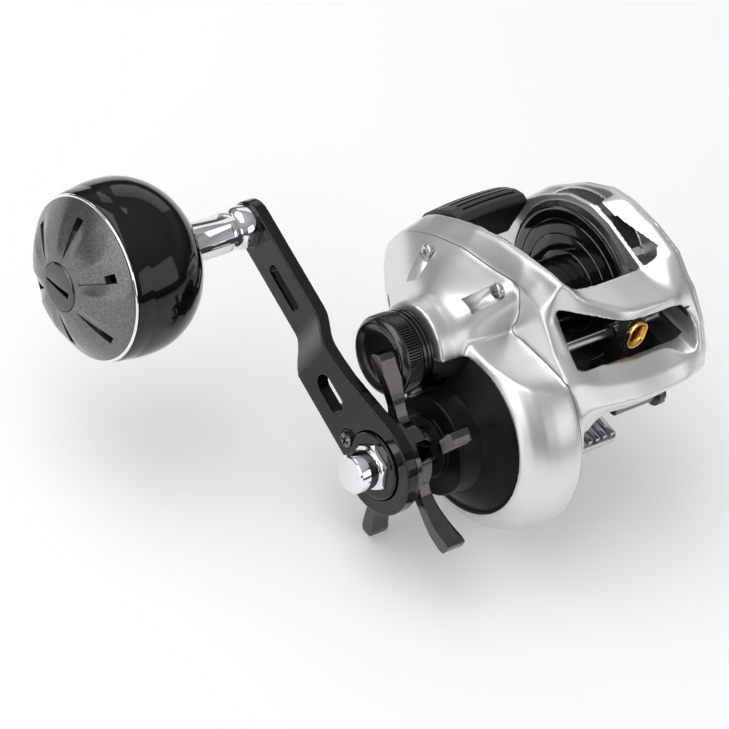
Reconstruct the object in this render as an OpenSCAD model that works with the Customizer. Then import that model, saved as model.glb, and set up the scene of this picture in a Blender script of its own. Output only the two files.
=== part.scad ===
// Low-profile baitcasting reel with a single-knob power handle, right-hand wind.
// Origin: centre of the foot's underside. +Z is up off the rod, -Y is the side the line leaves by,
// -X is the handle side. Positions below are measured from the middle of the spool axis;
// place() moves the finished piece to the origin on the foot.

/* [Line spool] */
// Outer diameter of the two spool flanges
spool_d = 43; // [42:0.1:43]
// Width over the two flanges
spool_w = 25.4; // [24.6:0.1:25.4]
// Diameter of the drum that the line winds on
arbor_d = 20; // [18:0.5:24]

/* [Gearing] */
// Distance from the spool axis to the handle axis
axle_gap = 24; // [23.9:0.05:24.1]
// Teeth on the drive gear
drive_teeth = 114; // [112:1:116]
// Teeth on the pinion
pinion_teeth = 15; // [15:1:15]
// Teeth on the idle gear that turns the level wind
idle_teeth = 40; // [38:1:42]
// Teeth on the worm shaft's gear
worm_teeth = 24; // [22:1:25]
// Distance from the handle axis to the worm shaft
worm_gap = 16.25; // [16.1:0.05:16.4]
// Share of the pitch that is left as backlash in both gear pairs
backlash = 0.1; // [0.06:0.01:0.14]

/* [Handle] */
// Distance from the handle axis to the knob's axis
handle_l = 69; // [62:0.5:74]
// Angle of the arm above level at rest
handle_angle = 19.8; // [0:0.1:40]
// Thickness of the arm
arm_t = 3.4; // [3:0.1:3.5]
// How far the arm steps out at the nut end
arm_step = 3.5; // [3:0.1:3.5]
// Diameter of the ball knob
knob_d = 43; // [38:0.5:44]
// Angle of the star's first arm
star_angle = 56; // [40:1:72]
// Distance from the handle axis to the tip of a star arm
star_r = 26.5; // [24:0.5:27]

/* [Level wind] */
// Distance that the line guide moves from one end to the other
guide_travel = 20; // [16:0.5:20]
// Where the line guide stands along the spool at rest
guide_x = 3.5; // [-6:0.5:6]

/* [Clutch] */
// Distance that the thumb bar goes down
press = 4; // [3:0.5:4]
// Distance that the yoke lifts the pinion off the spool pin
lift = 2; // [1.8:0.1:2]

/* [Foot] */
// Length of the foot along the rod
foot_l = 60; // [52:1:64]
// Width of the foot
foot_w = 18; // [16:0.5:19]
// Thickness of the foot
foot_t = 2.5; // [2:0.1:2.5]

/* [Hidden] */
$fn = 48;
e = 0.5;

// Axes, as [y, z] from the spool axis
drive_dir = 222.8;
drive_y = axle_gap * cos(drive_dir);
drive_z = axle_gap * sin(drive_dir);
worm_dir = 130;
worm_y = drive_y + worm_gap * cos(worm_dir);
worm_z = drive_z + worm_gap * sin(worm_dir);
rod_y = -24.3;
rod_z = 10;

// Foot, from the spool axis
foot_mid = [4, -1];
foot_low = -26.5;

// Stations along the spool axis
wall_out = -18;
wall_in = -15.5;
plate_out = -33.2;
palm_in = 13.6;
palm_seat = 21.5;
palm_out = 25.5;
spool_r = spool_d / 2;
chamber_r = spool_r + 0.9;
gear_out = -29;
gear_in = -25;
star_in = -48.2;
blade_in = -50.4;
star_out = -54;
arm_in = -57.5;
arm_out = arm_in - arm_t;
knob_side = arm_in + arm_step;
nut_tip = -67.8;
knob_r = knob_d / 2;

gear_module = 2 * axle_gap / (drive_teeth + pinion_teeth);
worm_module = 2 * worm_gap / (idle_teeth + worm_teeth);
yoke_dir = drive_dir + 90;
post_r = 9;
cam_pin_r = 10;
// Angle of the cam's lever, which meets the link's pin half a press above the spool axis
lever_angle = atan(press / 2 / cam_pin_r);
pin_x = -15;

housing_r = 28.3;
bar_half = 11.8;

// Line guide: half its width along the shaft, and the middle of its oval
guide_half = 3;
guide_mid_y = -30;
guide_mid_z = 13.4;
thread_l = guide_travel + 2 * guide_half + 0.4;

function arc(c, r, a0, a1, n) = [
    for (i = [0:n]) let (a = a0 + (a1 - a0) * i / n) [c[0] + r * cos(a), c[1] + r * sin(a)]
];
function gear_outline(teeth, m, slack) = [
    for (i = [0:teeth - 1])
        let (
            pitch_r = teeth * m / 2,
            a = 360 / teeth * i,
            q = 90 / teeth * (1 - slack),
            m_top = 0.95
        )
        each [
            for (s = [[-1.6, -1.15], [-1, 0], [-0.42, m_top], [0.42, m_top], [1, 0], [1.6, -1.15]])
                let (r = pitch_r + s[1] * m, t = a + s[0] * q)
                [r * cos(t), r * sin(t)]
        ]
];

module place() {
    translate([-foot_mid[0], -foot_mid[1], -foot_low]) children();
}
// Extrude a [y, z] outline from x0 to x1
module along(x0, x1) {
    translate([x0, 0, 0]) rotate([90, 0, 90]) linear_extrude(height = x1 - x0) children();
}
module rod(x0, x1, r) {
    translate([x0, 0, 0]) rotate([0, 90, 0]) cylinder(r = r, h = x1 - x0);
}
module ring(x0, x1, r_out, r_in) {
    difference() {
        rod(x0, x1, r_out);
        rod(x0 - e, x1 + e, r_in);
    }
}
// Revolve a [radius, x] outline about the X axis
module spin(points) {
    rotate([0, 90, 0]) rotate_extrude() polygon([for (q = points) [q[0], q[1]]]);
}
module at_drive() {
    translate([0, drive_y, drive_z]) children();
}
module at_worm() {
    translate([0, worm_y, worm_z]) children();
}
module at_rod() {
    translate([0, rod_y, rod_z]) children();
}
// Arm's own frame: +Y runs out along the arm
module on_arm() {
    at_drive() rotate([handle_angle, 0, 0]) children();
}
module at_knob() {
    on_arm() translate([0, handle_l, 0]) children();
}
module bearing(x0, x1, r_out, r_in) {
    groove_d = (r_out - r_in) * 0.16;
    mid_out = r_in + (r_out - r_in) * 0.68;
    mid_in = r_in + (r_out - r_in) * 0.32;
    difference() {
        ring(x0, x1, r_out, r_in);
        ring(x0 - e, x0 + groove_d, mid_out, mid_in);
        ring(x1 - groove_d, x1 + e, mid_out, mid_in);
    }
}
// Hex-socket or star-socket screw along X, head towards -X
module screw(x_head, length, head_r, shank_r) {
    difference() {
        union() {
            rod(x_head, x_head + 1.6, head_r);
            rod(x_head + 1.6, x_head + length, shank_r);
        }
        rod(x_head - e, x_head + 0.9, head_r * 0.5, $fn = 6);
    }
}

/* Outlines in [y, z] */
arm_lower = concat(
    [[8, 11.2], [20.6, 7.8], [30, 6.9], [30, -9], [8, -9.1]],
    arc([0, 0], 12.8, -58, -290, 16)
);
arm_upper = concat([[40, 6], [40, -6]], arc([handle_l, 0], 6, -90, 90, 10));
rear_top = [[36, -3], [33.8, 1.7], [31.9, 4.3], [27.4, 7.6], [21.5, 10.9], [11.4, 14.9], [0.7, 16.9], [-8, 18.9]];
gear_side = arc([drive_y, drive_z], housing_r, 143, 292, 22);
rear_low = [[5, -34.5], [20, -28], [30, -18.5], [35, -10]];
wall_outline = concat(rear_top, [[-16, 19], [-24, 17], [-31, 12.5], [-37, 6.5]], gear_side, rear_low);
notch = [[-9.3, 17.5], [-11.5, 13], [-10.4, 8.5], [-12, 7.2], [-24, 7.6], [-33, 7.4]];
plate_outline = concat(rear_top, notch, arc([drive_y, drive_z], housing_r + 2, 123, 290, 24), rear_low);
crest = [
    [34.5, 0], [30.5, 8.9], [26.9, 12], [20.5, 15.7], [12.7, 19.5], [4.5, 22.2], [-3, 23.9],
    [-12.7, 25.5], [-20, 24.6], [-30, 21.5], [-38, 8], [-40.5, 1]
];
palm_outline = [
    [34, -3], [30.2, 2.9], [22.9, 13.4], [12.3, 23], [5.4, 26.9], [-1.7, 28.4], [-11.7, 28.1],
    [-20.8, 26.3], [-26, 22.3], [-29.5, 20.6], [-35, 14.9], [-39, 8.5], [-41, 3.5], [-40.6, -0.5],
    [-37.5, -4], [-33, -9], [-31, -18], [-24, -25], [-12, -28], [6, -28.5], [20, -24], [30, -14]
];
nose_outline = [
    [-32.4, 8.4], [-36.5, 6.6], [-40.4, 3.6], [-41, 0.5], [-39, -2.7], [-35.8, -7.6],
    [-34.6, -7], [-36.8, -2.4], [-38.6, 0.4], [-38.5, 1.6], [-36, 3.8], [-31.8, 6]
];
crossbar_outline = [[-19.6, 24.6], [-27.5, 23.2], [-31, 20.8], [-31.6, 19.4], [-30, 18.4], [-20.6, 22.2]];
window_cut = [[-26, 17.8], [-29.8, 18.2], [-31.6, 19], [-46, 22], [-46, 9], [-32, 8.6], [-31.4, 5], [-24, -4]];
side_window = [[-4, 25.8], [-16.4, 25.2], [-19.4, 22.6], [-17.4, 19.6], [-10.6, 23.4]];

/* Frame */
module frame_walls() {
    along(wall_out, wall_in) polygon(wall_outline);
    hull() {
        along(wall_out, wall_out + 0.2) polygon(concat(rear_top, [[-24, 17], [-37, 6.5], [-40.5, 0.8], [20, -8]]));
        along(-14.4, -13.4) polygon(concat(crest, [[20, -8]]));
    }
    along(palm_in, palm_seat) polygon(palm_outline);
}
module frame_front() {
    along(wall_in - 0.1, palm_in + 0.1) polygon(nose_outline);
    along(wall_in - 0.1, palm_in + 0.1) polygon(crossbar_outline);
}
module saddle() {
    difference() {
        rod(wall_in - 0.1, palm_in + 0.1, 24);
        along(wall_in - 1, palm_in + 1) polygon([[-30, -9.5], [-20, -9], [0, 2], [26, -11], [26, 30], [-30, 30]]);
    }
    translate([foot_mid[0] - foot_w / 2, -17, foot_low + foot_t]) cube([foot_w, 34, 7]);
}
module screw_spots() {
    for (q = [[20.2, 7.5], [-4.8, 15.2], [25, -13], [3, -31]]) translate([0, q[0], q[1]]) children();
}
module post_spots() {
    for (s = [-1, 1]) translate([0, s * post_r * cos(yoke_dir), s * post_r * sin(yoke_dir)]) children();
}
module release_spot() {
    translate([0, -27, -17]) children();
}
module frame() {
    place() color([0.80, 0.81, 0.82]) difference() {
        union() {
            difference() {
                union() {
                    frame_walls();
                    frame_front();
                    saddle();
                }
                rod(wall_in, palm_in + e, chamber_r + 0.4);
                rod(palm_in - e, palm_seat + e, chamber_r + 0.3);
                along(-14.6, palm_in - 0.4) polygon(window_cut);
                along(palm_in - e, palm_seat + e) polygon(side_window);
            }
            post_spots() rod(-30.2, wall_in, 1);
            ring(-19.9, wall_out + 0.1, 5.4, 3.4);
        }
        rod(-17.9, wall_in + e, 5.02);
        rod(wall_out - 3, wall_in + e, 3.4);
        at_drive() rod(-17.9, wall_in + e, 4.52);
        at_drive() rod(wall_out - e, wall_in, 3.4);
        at_worm() rod(wall_out - e, palm_in + 2.6, 3.02);
        at_worm() rod(wall_in, palm_in, 6.4);
        at_rod() rod(-17, 16.6, 1.22);
        screw_spots() rod(wall_out - e, wall_in + 0.4, 1.12);
        release_spot() rod(palm_in - e, palm_seat + e, 1.83);
        along(wall_out - e, -12) polygon([[21.6, -5], [27.4, -5], [27.4, 4], [21.6, 4]]);
        foot_screw_spots() cylinder(r = 1.12, h = 4);
    }
}
module foot_screw_spots() {
    for (y = [-13, 13]) translate([foot_mid[0], y, foot_low + foot_t]) children();
}

/* Handle side plate: a round gear housing joined to a shell that runs over the spool end */
module plate_shell() {
    intersection() {
        at_drive() spin([
            [0, wall_out], [housing_r, wall_out], [housing_r, -21.5], [27.7, -25], [26.5, -28.5],
            [24.7, -31.2], [22.7, -32.9], [21.6, plate_out], [0, plate_out]
        ]);
        along(plate_out - 1, wall_out) polygon(plate_outline);
    }
    hull() {
        along(-19, wall_out) polygon(concat(rear_top, [notch[1], notch[2], [-8.8, -20]], rear_low));
        along(-24, -23) scale([0.9, 0.9]) polygon(concat(rear_top, [notch[1], notch[2]], rear_low));
        rod(plate_out, -32, 13.4, $fn = 32);
        translate([0, 6, -8]) rod(-31, -30, 17, $fn = 32);
    }
    rod(-40.2, -30, 11.5);
    rod(-46.7, -40, 8);
}
module plate_hollow() {
    at_drive() rod(-30.4, wall_out + e, 22.4);
    difference() {
        at_drive() rod(plate_out - 2, -30, 20.95);
        rod(plate_out - 3, -32.9, 11.5);
    }
    rod(-24.5, wall_out + e, 8.3);
    rod(-33, wall_out + e, 5);
    rod(-35.3, -32, 5.02);
    rod(-44, -35, 3);
    rod(-47, -43.7, 4.02);
    along(-22.4, wall_out + e) polygon([[0, -8.2], [13.5, -9], [29, -7], [29, 5.4], [13.5, 9], [0, 8.2]]);
    post_spots() rod(-30.7, wall_out + e, 2.4);
    at_worm() rod(-22.5, wall_out + e, 7.1);
}
module handle_side_plate() {
    place() color([0.83, 0.84, 0.85]) difference() {
        plate_shell();
        plate_hollow();
        screw_spots() rod(-35, -20.4, 2.5);
        screw_spots() rod(-21, wall_out + e, 1.15);
    }
}
module side_plate_screws() {
    place() color([0.7, 0.7, 0.72]) screw_spots() screw(-22, 6.2, 2.2, 1.1);
}
module gear_cover() {
    place() color([0.07, 0.07, 0.08]) difference() {
        at_drive() spin([
            [5.3, -45.6], [8, -45.6], [8.3, -44.1], [12.6, -44.1], [13, -43.6], [13.2, -38.4],
            [14.6, -37.6], [20.3, -32.7], [20.9, -32.2], [20.9, -30.4], [14.2, -30.4], [14.2, -34.9],
            [8.02, -34.9], [8.02, -43.7], [5.3, -43.7]
        ]);
        rod(-47, -32.8, 11.6);
        rod(-33, -30, 3.7);
    }
}

/* Palm side */
module palm_plate() {
    place() color([0.80, 0.81, 0.82]) difference() {
        union() {
            hull() {
                along(palm_seat, 22.4) polygon(palm_outline);
                along(24.2, 24.4) scale([0.88, 0.88]) polygon(palm_outline);
                rod(palm_out - 0.4, palm_out, 17, $fn = 32);
            }
            ring(14.8, palm_seat + 0.1, chamber_r - 0.1, chamber_r - 1.8);
            rod(18, 22, 7.2);
        }
        rod(17, 20.7, 5.02);
        rod(20, 21.3, 3);
        release_spot() rod(20, 23, 1.83);
        release_spot() rod(22.5, 30, 3.6);
    }
}
module palm_release_screw() {
    place() color([0.15, 0.15, 0.16]) release_spot() difference() {
        union() {
            rod(9, 22.7, 1.8);
            rod(22.6, 25, 3.2);
        }
        translate([24.2, -0.5, -4]) cube([2, 1, 8]);
    }
}
module brake_race() {
    place() color([0.75, 0.75, 0.77]) {
        difference() {
            rod(14.4, palm_seat, 14.4);
            rod(14, 18.8, 13.2);
            rod(14, 22, 7.3);
        }
    }
}
module palm_bearing() {
    place() color([0.8, 0.8, 0.82]) bearing(18.4, 20.6, 5, 1.53);
}

/* Foot */
module reel_foot() {
    place() color([0.78, 0.79, 0.8]) difference() {
        translate([foot_mid[0] - foot_w / 2, foot_mid[1] - foot_l / 2, foot_low]) foot_blank();
        foot_screw_spots() translate([0, 0, -6]) cylinder(r = 1.15, h = 8);
        foot_screw_spots() translate([0, 0, -foot_t - e]) cylinder(r = 2.25, h = 1.6 + e);
    }
}
module foot_blank() {
    corner = 4;
    flat = foot_t - 0.7;
    hull() {
        for (x = [corner, foot_w - corner], y = [corner, foot_l - corner])
            translate([x, y, 0]) cylinder(r = corner, h = flat, $fn = 32);
    }
    rib_pitch = (foot_w - 2 * corner) / 4;
    for (i = [0:4]) translate([corner + i * rib_pitch - 0.7, 2.2, flat - 0.1]) cube([1.4, foot_l - 4.4, 0.8]);
}
module foot_screws() {
    place() color([0.6, 0.6, 0.62]) foot_screw_spots() difference() {
        union() {
            translate([0, 0, -foot_t]) cylinder(r = 2.2, h = 1.5);
            translate([0, 0, -1.1]) cylinder(r = 1.1, h = 4.6);
        }
        translate([0, 0, -foot_t - e]) cylinder(r = 1.1, h = 1.3, $fn = 6);
    }
}

/* Level wind */
module worm_guard() {
    place() color([0.12, 0.12, 0.13]) at_worm() difference() {
        ring(wall_in + 0.05, palm_in - 0.05, 4.2, 2.6);
        translate([-13.4, -1.9, -5]) cube([26.8, 3.8, 4]);
    }
}
module worm_bearings() {
    place() color([0.8, 0.8, 0.82]) at_worm() {
        bearing(wall_out, wall_in, 3, 1.23);
        bearing(palm_in, 16, 3, 1.23);
    }
}
module guide_rod() {
    place() color([0.75, 0.76, 0.78]) at_rod() rod(-16.9, 16.5, 1.2);
}
// Shaft with its groove, drawn as one hand of the crossed pair
module worm_thread() {
    groove = [for (i = [0:11]) let (a = i * 30, r = i == 0 ? 1.3 : 1.9) [r * cos(a), r * sin(a)]];
    rotate([0, 90, 0]) linear_extrude(height = thread_l, twist = 1440, slices = 36) polygon(groove);
}
module worm_shaft() {
    place() color([0.7, 0.7, 0.72]) at_worm() {
        rod(-21.4, 0.1 - thread_l / 2, 1.2);
        rod(thread_l / 2 - 0.1, 15.9, 1.2);
        translate([-thread_l / 2, 0, 0]) worm_thread();
    }
}
module spur(x0, x1, teeth, m, bore, turn) {
    difference() {
        along(x0, x1) rotate(turn) polygon(gear_outline(teeth, m, backlash));
        rod(x0 - e, x1 + e, bore);
    }
}
module worm_gear() {
    place() color([0.9, 0.88, 0.8]) at_worm()
        spur(-21, -19, worm_teeth, worm_module, 1.2, worm_dir + 180 + 180 / worm_teeth);
}
module oval_y(y0, y1, r, rise) {
    translate([0, y1, 0]) rotate([90, 0, 0]) {
        for (s = [-1, 1]) translate([0, s * rise, 0]) cylinder(r = r, h = y1 - y0);
        translate([-r, -rise, 0]) cube([2 * r, 2 * rise, y1 - y0]);
    }
}
module guide_carrier() {
    low = guide_x - guide_half;
    high = guide_x + guide_half;
    place() color([0.1, 0.1, 0.11]) difference() {
        union() {
            at_worm() rod(low, high, 6);
            translate([guide_x, worm_y, worm_z - 7]) cylinder(r = 2.9, h = 4);
            at_rod() rod(low, high, 2.2);
            along(low + 0.8, high - 0.8) polygon([[-30.4, 0], [-25.6, 0], [-22.6, 8.6], [-24.2, 12], [-29.6, 11]]);
            along(low, high) polygon([[-29.4, 8.9], [-26.9, 8.9], [-26.4, 17], [-27.4, 17.9], [-29.4, 17.9]]);
        }
        at_worm() rod(low - e, high + e, 4.25);
        at_rod() rod(low - e, high + e, 1.24);
        translate([guide_x, worm_y, worm_z - 8]) cylinder(r = 1.55, h = 6);
        translate([guide_x, worm_y, worm_z - 8]) cylinder(r = 2.2, h = 2.3);
        translate([guide_x, 0, guide_mid_z]) oval_y(-30, -22, 2.25, 1.2);
        translate([guide_x, 0, guide_mid_z]) oval_y(-32, -29.38, 3, 1.2);
    }
}
module guide_ring() {
    place() color([0.82, 0.6, 0.2]) translate([guide_x, 0, guide_mid_z]) difference() {
        union() {
            oval_y(guide_mid_y - 1, -29.4, 2.9, 1.2);
            oval_y(-29.5, -26.2, 2.2, 1.2);
        }
        oval_y(guide_mid_y - 2, -24, 1.7, 1.2);
    }
}
module pawl() {
    place() color([0.75, 0.65, 0.4]) translate([guide_x, worm_y, worm_z]) difference() {
        translate([0, 0, -5.6]) cylinder(r = 1.5, h = 3.5);
        for (s = [-1, 1]) translate([-2, s * 1.05 - 0.55, -3.2]) cube([4, 1.1, 2]);
    }
}
module pawl_cap() {
    place() color([0.72, 0.72, 0.74]) translate([guide_x, worm_y, worm_z]) difference() {
        translate([0, 0, -7.6]) cylinder(r = 2.15, h = 1.9);
        translate([-3, -0.4, -8]) cube([6, 0.8, 1]);
    }
}

/* Bearings that stand in the housing */
module drive_shaft_bearing() {
    place() color([0.8, 0.8, 0.82]) at_drive() bearing(-17.8, -15.6, 4.5, 2.5);
}
module roller_clutch_bearing() {
    place() color([0.8, 0.8, 0.82]) at_drive() difference() {
        ring(-43.6, -35, 8, 5.05);
        for (i = [0:11]) rotate([i * 30, 0, 0]) translate([0, 5.9, 0]) rod(-44, -43.1, 0.5);
    }
}
module pinion_bearing() {
    place() color([0.8, 0.8, 0.82]) bearing(-17.8, -15.6, 5, 3.03);
}
module pinion_outer_bearing() {
    place() color([0.8, 0.8, 0.82]) bearing(-35.2, -33.2, 5, 2.33);
}
module spool_shaft_bearing() {
    place() color([0.8, 0.8, 0.82]) bearing(-46.2, -43.8, 4, 1.53);
}

/* Clutch */
// Helical wire along X; every ring of the sweep has the same number of points
module coil(x0, x1, r, wire, turns) {
    sides = 6;
    rings = turns * 10;
    points = [
        for (i = [0:rings], k = [0:sides - 1])
            let (a = i * 36, b = k * 360 / sides, q = r + wire * cos(b))
            [x0 + (x1 - x0) * i / rings + wire * sin(b), q * cos(a), q * sin(a)]
    ];
    walls = [
        for (i = [0:rings - 1], k = [0:sides - 1])
            let (n = (k + 1) % sides)
            [i * sides + k, i * sides + n, (i + 1) * sides + n, (i + 1) * sides + k]
    ];
    start = [for (k = [sides - 1:-1:0]) k];
    end = [for (k = [0:sides - 1]) rings * sides + k];
    polyhedron(points = points, faces = concat([start], walls, [end]), convexity = 6);
}
module yoke_springs() {
    place() color([0.75, 0.75, 0.77]) post_spots() coil(-29.7, -24.5, 1.6, 0.25, 5);
}
module clutch_cam() {
    ramp_start = 3;
    face = -19.7;
    top = face - lift - 0.2;
    place() color([0.8, 0.78, 0.7]) difference() {
        union() {
            rod(face, -18.5, 7.6);
            intersection() {
                rod(face, -18.5, 12.5);
                rotate([lever_angle, 0, 0]) translate([face, 4, -2.2]) cube([1.2, 10, 4.4]);
            }
            intersection() {
                ring(-22, face + 0.1, 7.6, 5.45);
                for (s = [0, 180]) rotate([yoke_dir + s, 0, 0]) translate([0, 0, ramp_start])
                    rotate([90, 0, 0]) translate([0, 0, -9]) linear_extrude(height = 6)
                        polygon([[face, 0], [top, 2.3], [top, 4], [face, 4]]);
            }
        }
        rod(-23, -18, 5.45);
        rotate([lever_angle, 0, 0]) {
            translate([face - e, 9.4, 0]) rotate([0, 90, 0]) cylinder(r = 1, h = 3);
            translate([face - e, 10.8, 0]) rotate([0, 90, 0]) cylinder(r = 1, h = 3);
            translate([face - e, 9.4, -1]) cube([3, 1.4, 2]);
        }
    }
}
module clutch_yoke() {
    place() color([0.75, 0.76, 0.78]) rotate([yoke_dir, 0, 0]) difference() {
        union() {
            rod(-21.9, -20.1, 4.6);
            translate([-21.9, -post_r, -2]) cube([1.8, 2 * post_r, 4]);
            for (s = [-1, 1]) translate([0, s * post_r, 0]) rod(-21.9, -20.1, 2);
        }
        rod(-23, -19, 2.2);
        translate([-23, -2.2, -6]) cube([4, 4.4, 6]);
        for (s = [-1, 1]) translate([0, s * post_r, 0]) rod(-23, -19, 1.06);
    }
}
module thumb_bar() {
    place() color([0.06, 0.06, 0.07]) difference() {
        along(-bar_half, bar_half) polygon([
            [20.4, 13.2], [22.4, 14.4], [25.5, 13.6], [31, 10], [33.8, 6.2], [33.2, 2.6], [28, 0.4],
            [23.4, 0.6], [22.8, 4]
        ]);
        for (i = [0:3]) translate([-bar_half + 2.4, 24.2 + 2.1 * i, 14.2 - 1.35 * i - 0.5 * (i == 0 ? 0.4 : 0)])
            rotate([-32, 0, 0]) cube([2 * bar_half - 4.8, 0.7, 1.4], center = false);
    }
}
module clutch_link() {
    pin_z = press / 2;
    place() color([0.55, 0.55, 0.57]) {
        along(-21.1, -20) polygon([
            [8.6, pin_z - 0.9], [9.6, pin_z - 1.6], [22, -0.6], [27, -0.6], [27, 3.6], [22, 3.6],
            [9.6, pin_z + 1.6], [8.6, pin_z + 0.9]
        ]);
        translate([0, cam_pin_r, pin_z]) rod(-20.1, -18.7, 0.7);
        along(-20.1, -bar_half) polygon([[22, -0.4], [27, -0.4], [27, 3.6], [22, 3.6]]);
    }
}

/* Pieces on the handle axis */
module drive_shaft() {
    place() color([0.72, 0.72, 0.74]) at_drive() {
        rod(-65.8, -60.7, 2.4);
        rod(-60.8, -18.3, 3);
        rod(-18.4, -15.7, 2.47);
        rod(-24.8, -23.3, 7);
    }
}
module drive_gear() {
    place() color([0.78, 0.62, 0.3]) at_drive() difference() {
        along(gear_out, gear_in) rotate(drive_dir - 180) polygon(gear_outline(drive_teeth, gear_module, backlash));
        rod(gear_out - e, gear_out + 2, 14);
        rod(-30, -24, 3.03);
        ring(-26.6, -24, 17.5, 8.5);
        for (i = [0:5]) rotate([i * 60, 0, 0]) translate([0, 13, 0]) rod(-30, -24, 2.4);
    }
}
// Fibre and steel discs, one on the other, ending in the keyed disc under the sleeve
module drag_washers() {
    place() color([0.2, 0.2, 0.21]) at_drive() {
        for (i = [0:3]) ring(-31.1 + i * 1.03, -30.11 + i * 1.03, i % 2 == 0 ? 13.2 : 13.5, 3.03);
    }
}
module ratchet() {
    teeth = 12;
    place() color([0.7, 0.7, 0.72]) at_drive() difference() {
        along(-23.2, -21.8) polygon([
            for (i = [0:teeth - 1]) each [
                [7.4 * cos(i * 30), 7.4 * sin(i * 30)], [9 * cos(i * 30 + 6), 9 * sin(i * 30 + 6)],
                [8.9 * cos(i * 30 + 14), 8.9 * sin(i * 30 + 14)]
            ]
        ]);
        rod(-24, -21, 3.03);
    }
}
module idle_gear() {
    place() color([0.92, 0.9, 0.84]) at_drive() spur(-21, -19, idle_teeth, worm_module, 3.03, worm_dir);
}
module clutch_sleeve() {
    place() color([0.78, 0.78, 0.8]) at_drive() {
        ring(-46, -32.2, 5, 3.03);
        ring(-32.3, -31.15, 9, 3.03);
    }
}
module spring_washers() {
    place() color([0.8, 0.8, 0.8]) at_drive() for (s = [0, 1]) spin([
        [3.05, -46.1 - s], [5.3, -46.5 - s], [5.3, -46.9 - s], [3.05, -46.5 - s]
    ]);
}
// One star arm: a blade that leaves the hub on one side and sweeps back to its tip
function blade(r0, r1, w0, w1, sweep) = concat(
    [for (i = [0:6]) let (t = i / 6) [r0 + (r1 - r0) * t, w0 + (w1 - w0) * t + sweep * sin(180 * t) - 1.1 * sin(360 * t)]],
    [for (i = [6:-1:0]) let (t = i / 6) [r0 + (r1 - r0) * t, -w0 - (w1 - w0) * t + sweep * sin(180 * t) + 1.1 * sin(360 * t)]]
);
module star_drag() {
    place() color([0.28, 0.28, 0.3]) at_drive() difference() {
        union() {
            rod(star_out, blade_in, 9.5);
            for (i = [0:4]) rotate([star_angle + 72 * i, 0, 0])
                along(star_out, blade_in) polygon(blade(7, star_r, 5, 3, 1.6));
        }
        rod(star_out - e, star_in + e, 3.05);
    }
}

// Threaded insert behind the star
module star_nut() {
    place() color([0.6, 0.6, 0.62]) at_drive() ring(blade_in + 0.02, star_in, 6, 3.05);
}

module spacer_collar() {
    place() color([0.1, 0.1, 0.11]) at_drive() {
        ring(arm_in, star_out - 1.2, 10.6, 3.03);
        ring(star_out - 1.3, star_out - 0.3, 6.4, 3.03);
    }
}
module handle_arm() {
    place() color([0.1, 0.1, 0.11]) on_arm() difference() {
        union() {
            along(arm_out, arm_in) polygon(arm_lower);
            along(arm_out + arm_step, knob_side) polygon(arm_upper);
            hull() {
                along(arm_out, arm_in) polygon([[29.9, -9], [30.1, -9], [30.1, 6.9], [29.9, 6.9]]);
                along(arm_out + arm_step, knob_side) polygon([[40, -6], [40.1, -6], [40.1, 6], [40, 6]]);
            }
        }
        rod(arm_out - e, arm_in + e, 3.02);
        rod(arm_out - e, arm_out + 1.2, 8.7);
        translate([0, 9.6, -3.6]) rod(arm_out - e, arm_out + 1.2, 2.6);
        translate([0, 9.6, -3.6]) rod(arm_out, arm_out + 3, 1.02);
        translate([0, handle_l, 0]) rod(-60, -50, 3.02);
        along(-60, -50) polygon(slot_outline(45.2, 55.3, -0.4, 1.7));
        along(-63, -55) polygon(slot_outline(18.3, 23.7, -1.1, 2.8));
    }
}
function slot_outline(y0, y1, z, r) = concat(arc([y0, z], r, 90, 270, 8), arc([y1, z], r, -90, 90, 8));
module nut_retainer() {
    place() color([0.06, 0.06, 0.06]) on_arm() difference() {
        union() {
            rod(arm_out - 0.6, arm_out + 1.15, 8.5);
            translate([0, 9.6, -3.6]) rod(arm_out, arm_out + 1.15, 2.45);
        }
        rod(arm_out - 2, arm_out + 2, 6.6, $fn = 6);
        translate([0, 9.6, -3.6]) rod(arm_out - e, arm_out + 2, 1.05);
        translate([0, 9.6, -3.6]) rod(arm_out - 2, arm_out + 0.2, 2.2);
    }
}
module retainer_screw() {
    place() color([0.3, 0.3, 0.31]) on_arm() translate([0, 9.6, -3.6]) screw(arm_out - 1.4, 3.9, 1.9, 1);
}
module handle_nut() {
    seat = arm_out + 1.2;
    place() color([0.9, 0.9, 0.92]) on_arm() difference() {
        union() {
            rod(-62.9, seat, 6.3, $fn = 6);
            spin([[0, nut_tip], [4.2, nut_tip], [4.8, -67.2], [4.8, -62.8], [0, -62.8]]);
        }
        rod(-66.2, seat + e, 2.42);
        rod(arm_out, seat + e, 3.03);
    }
}

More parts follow.
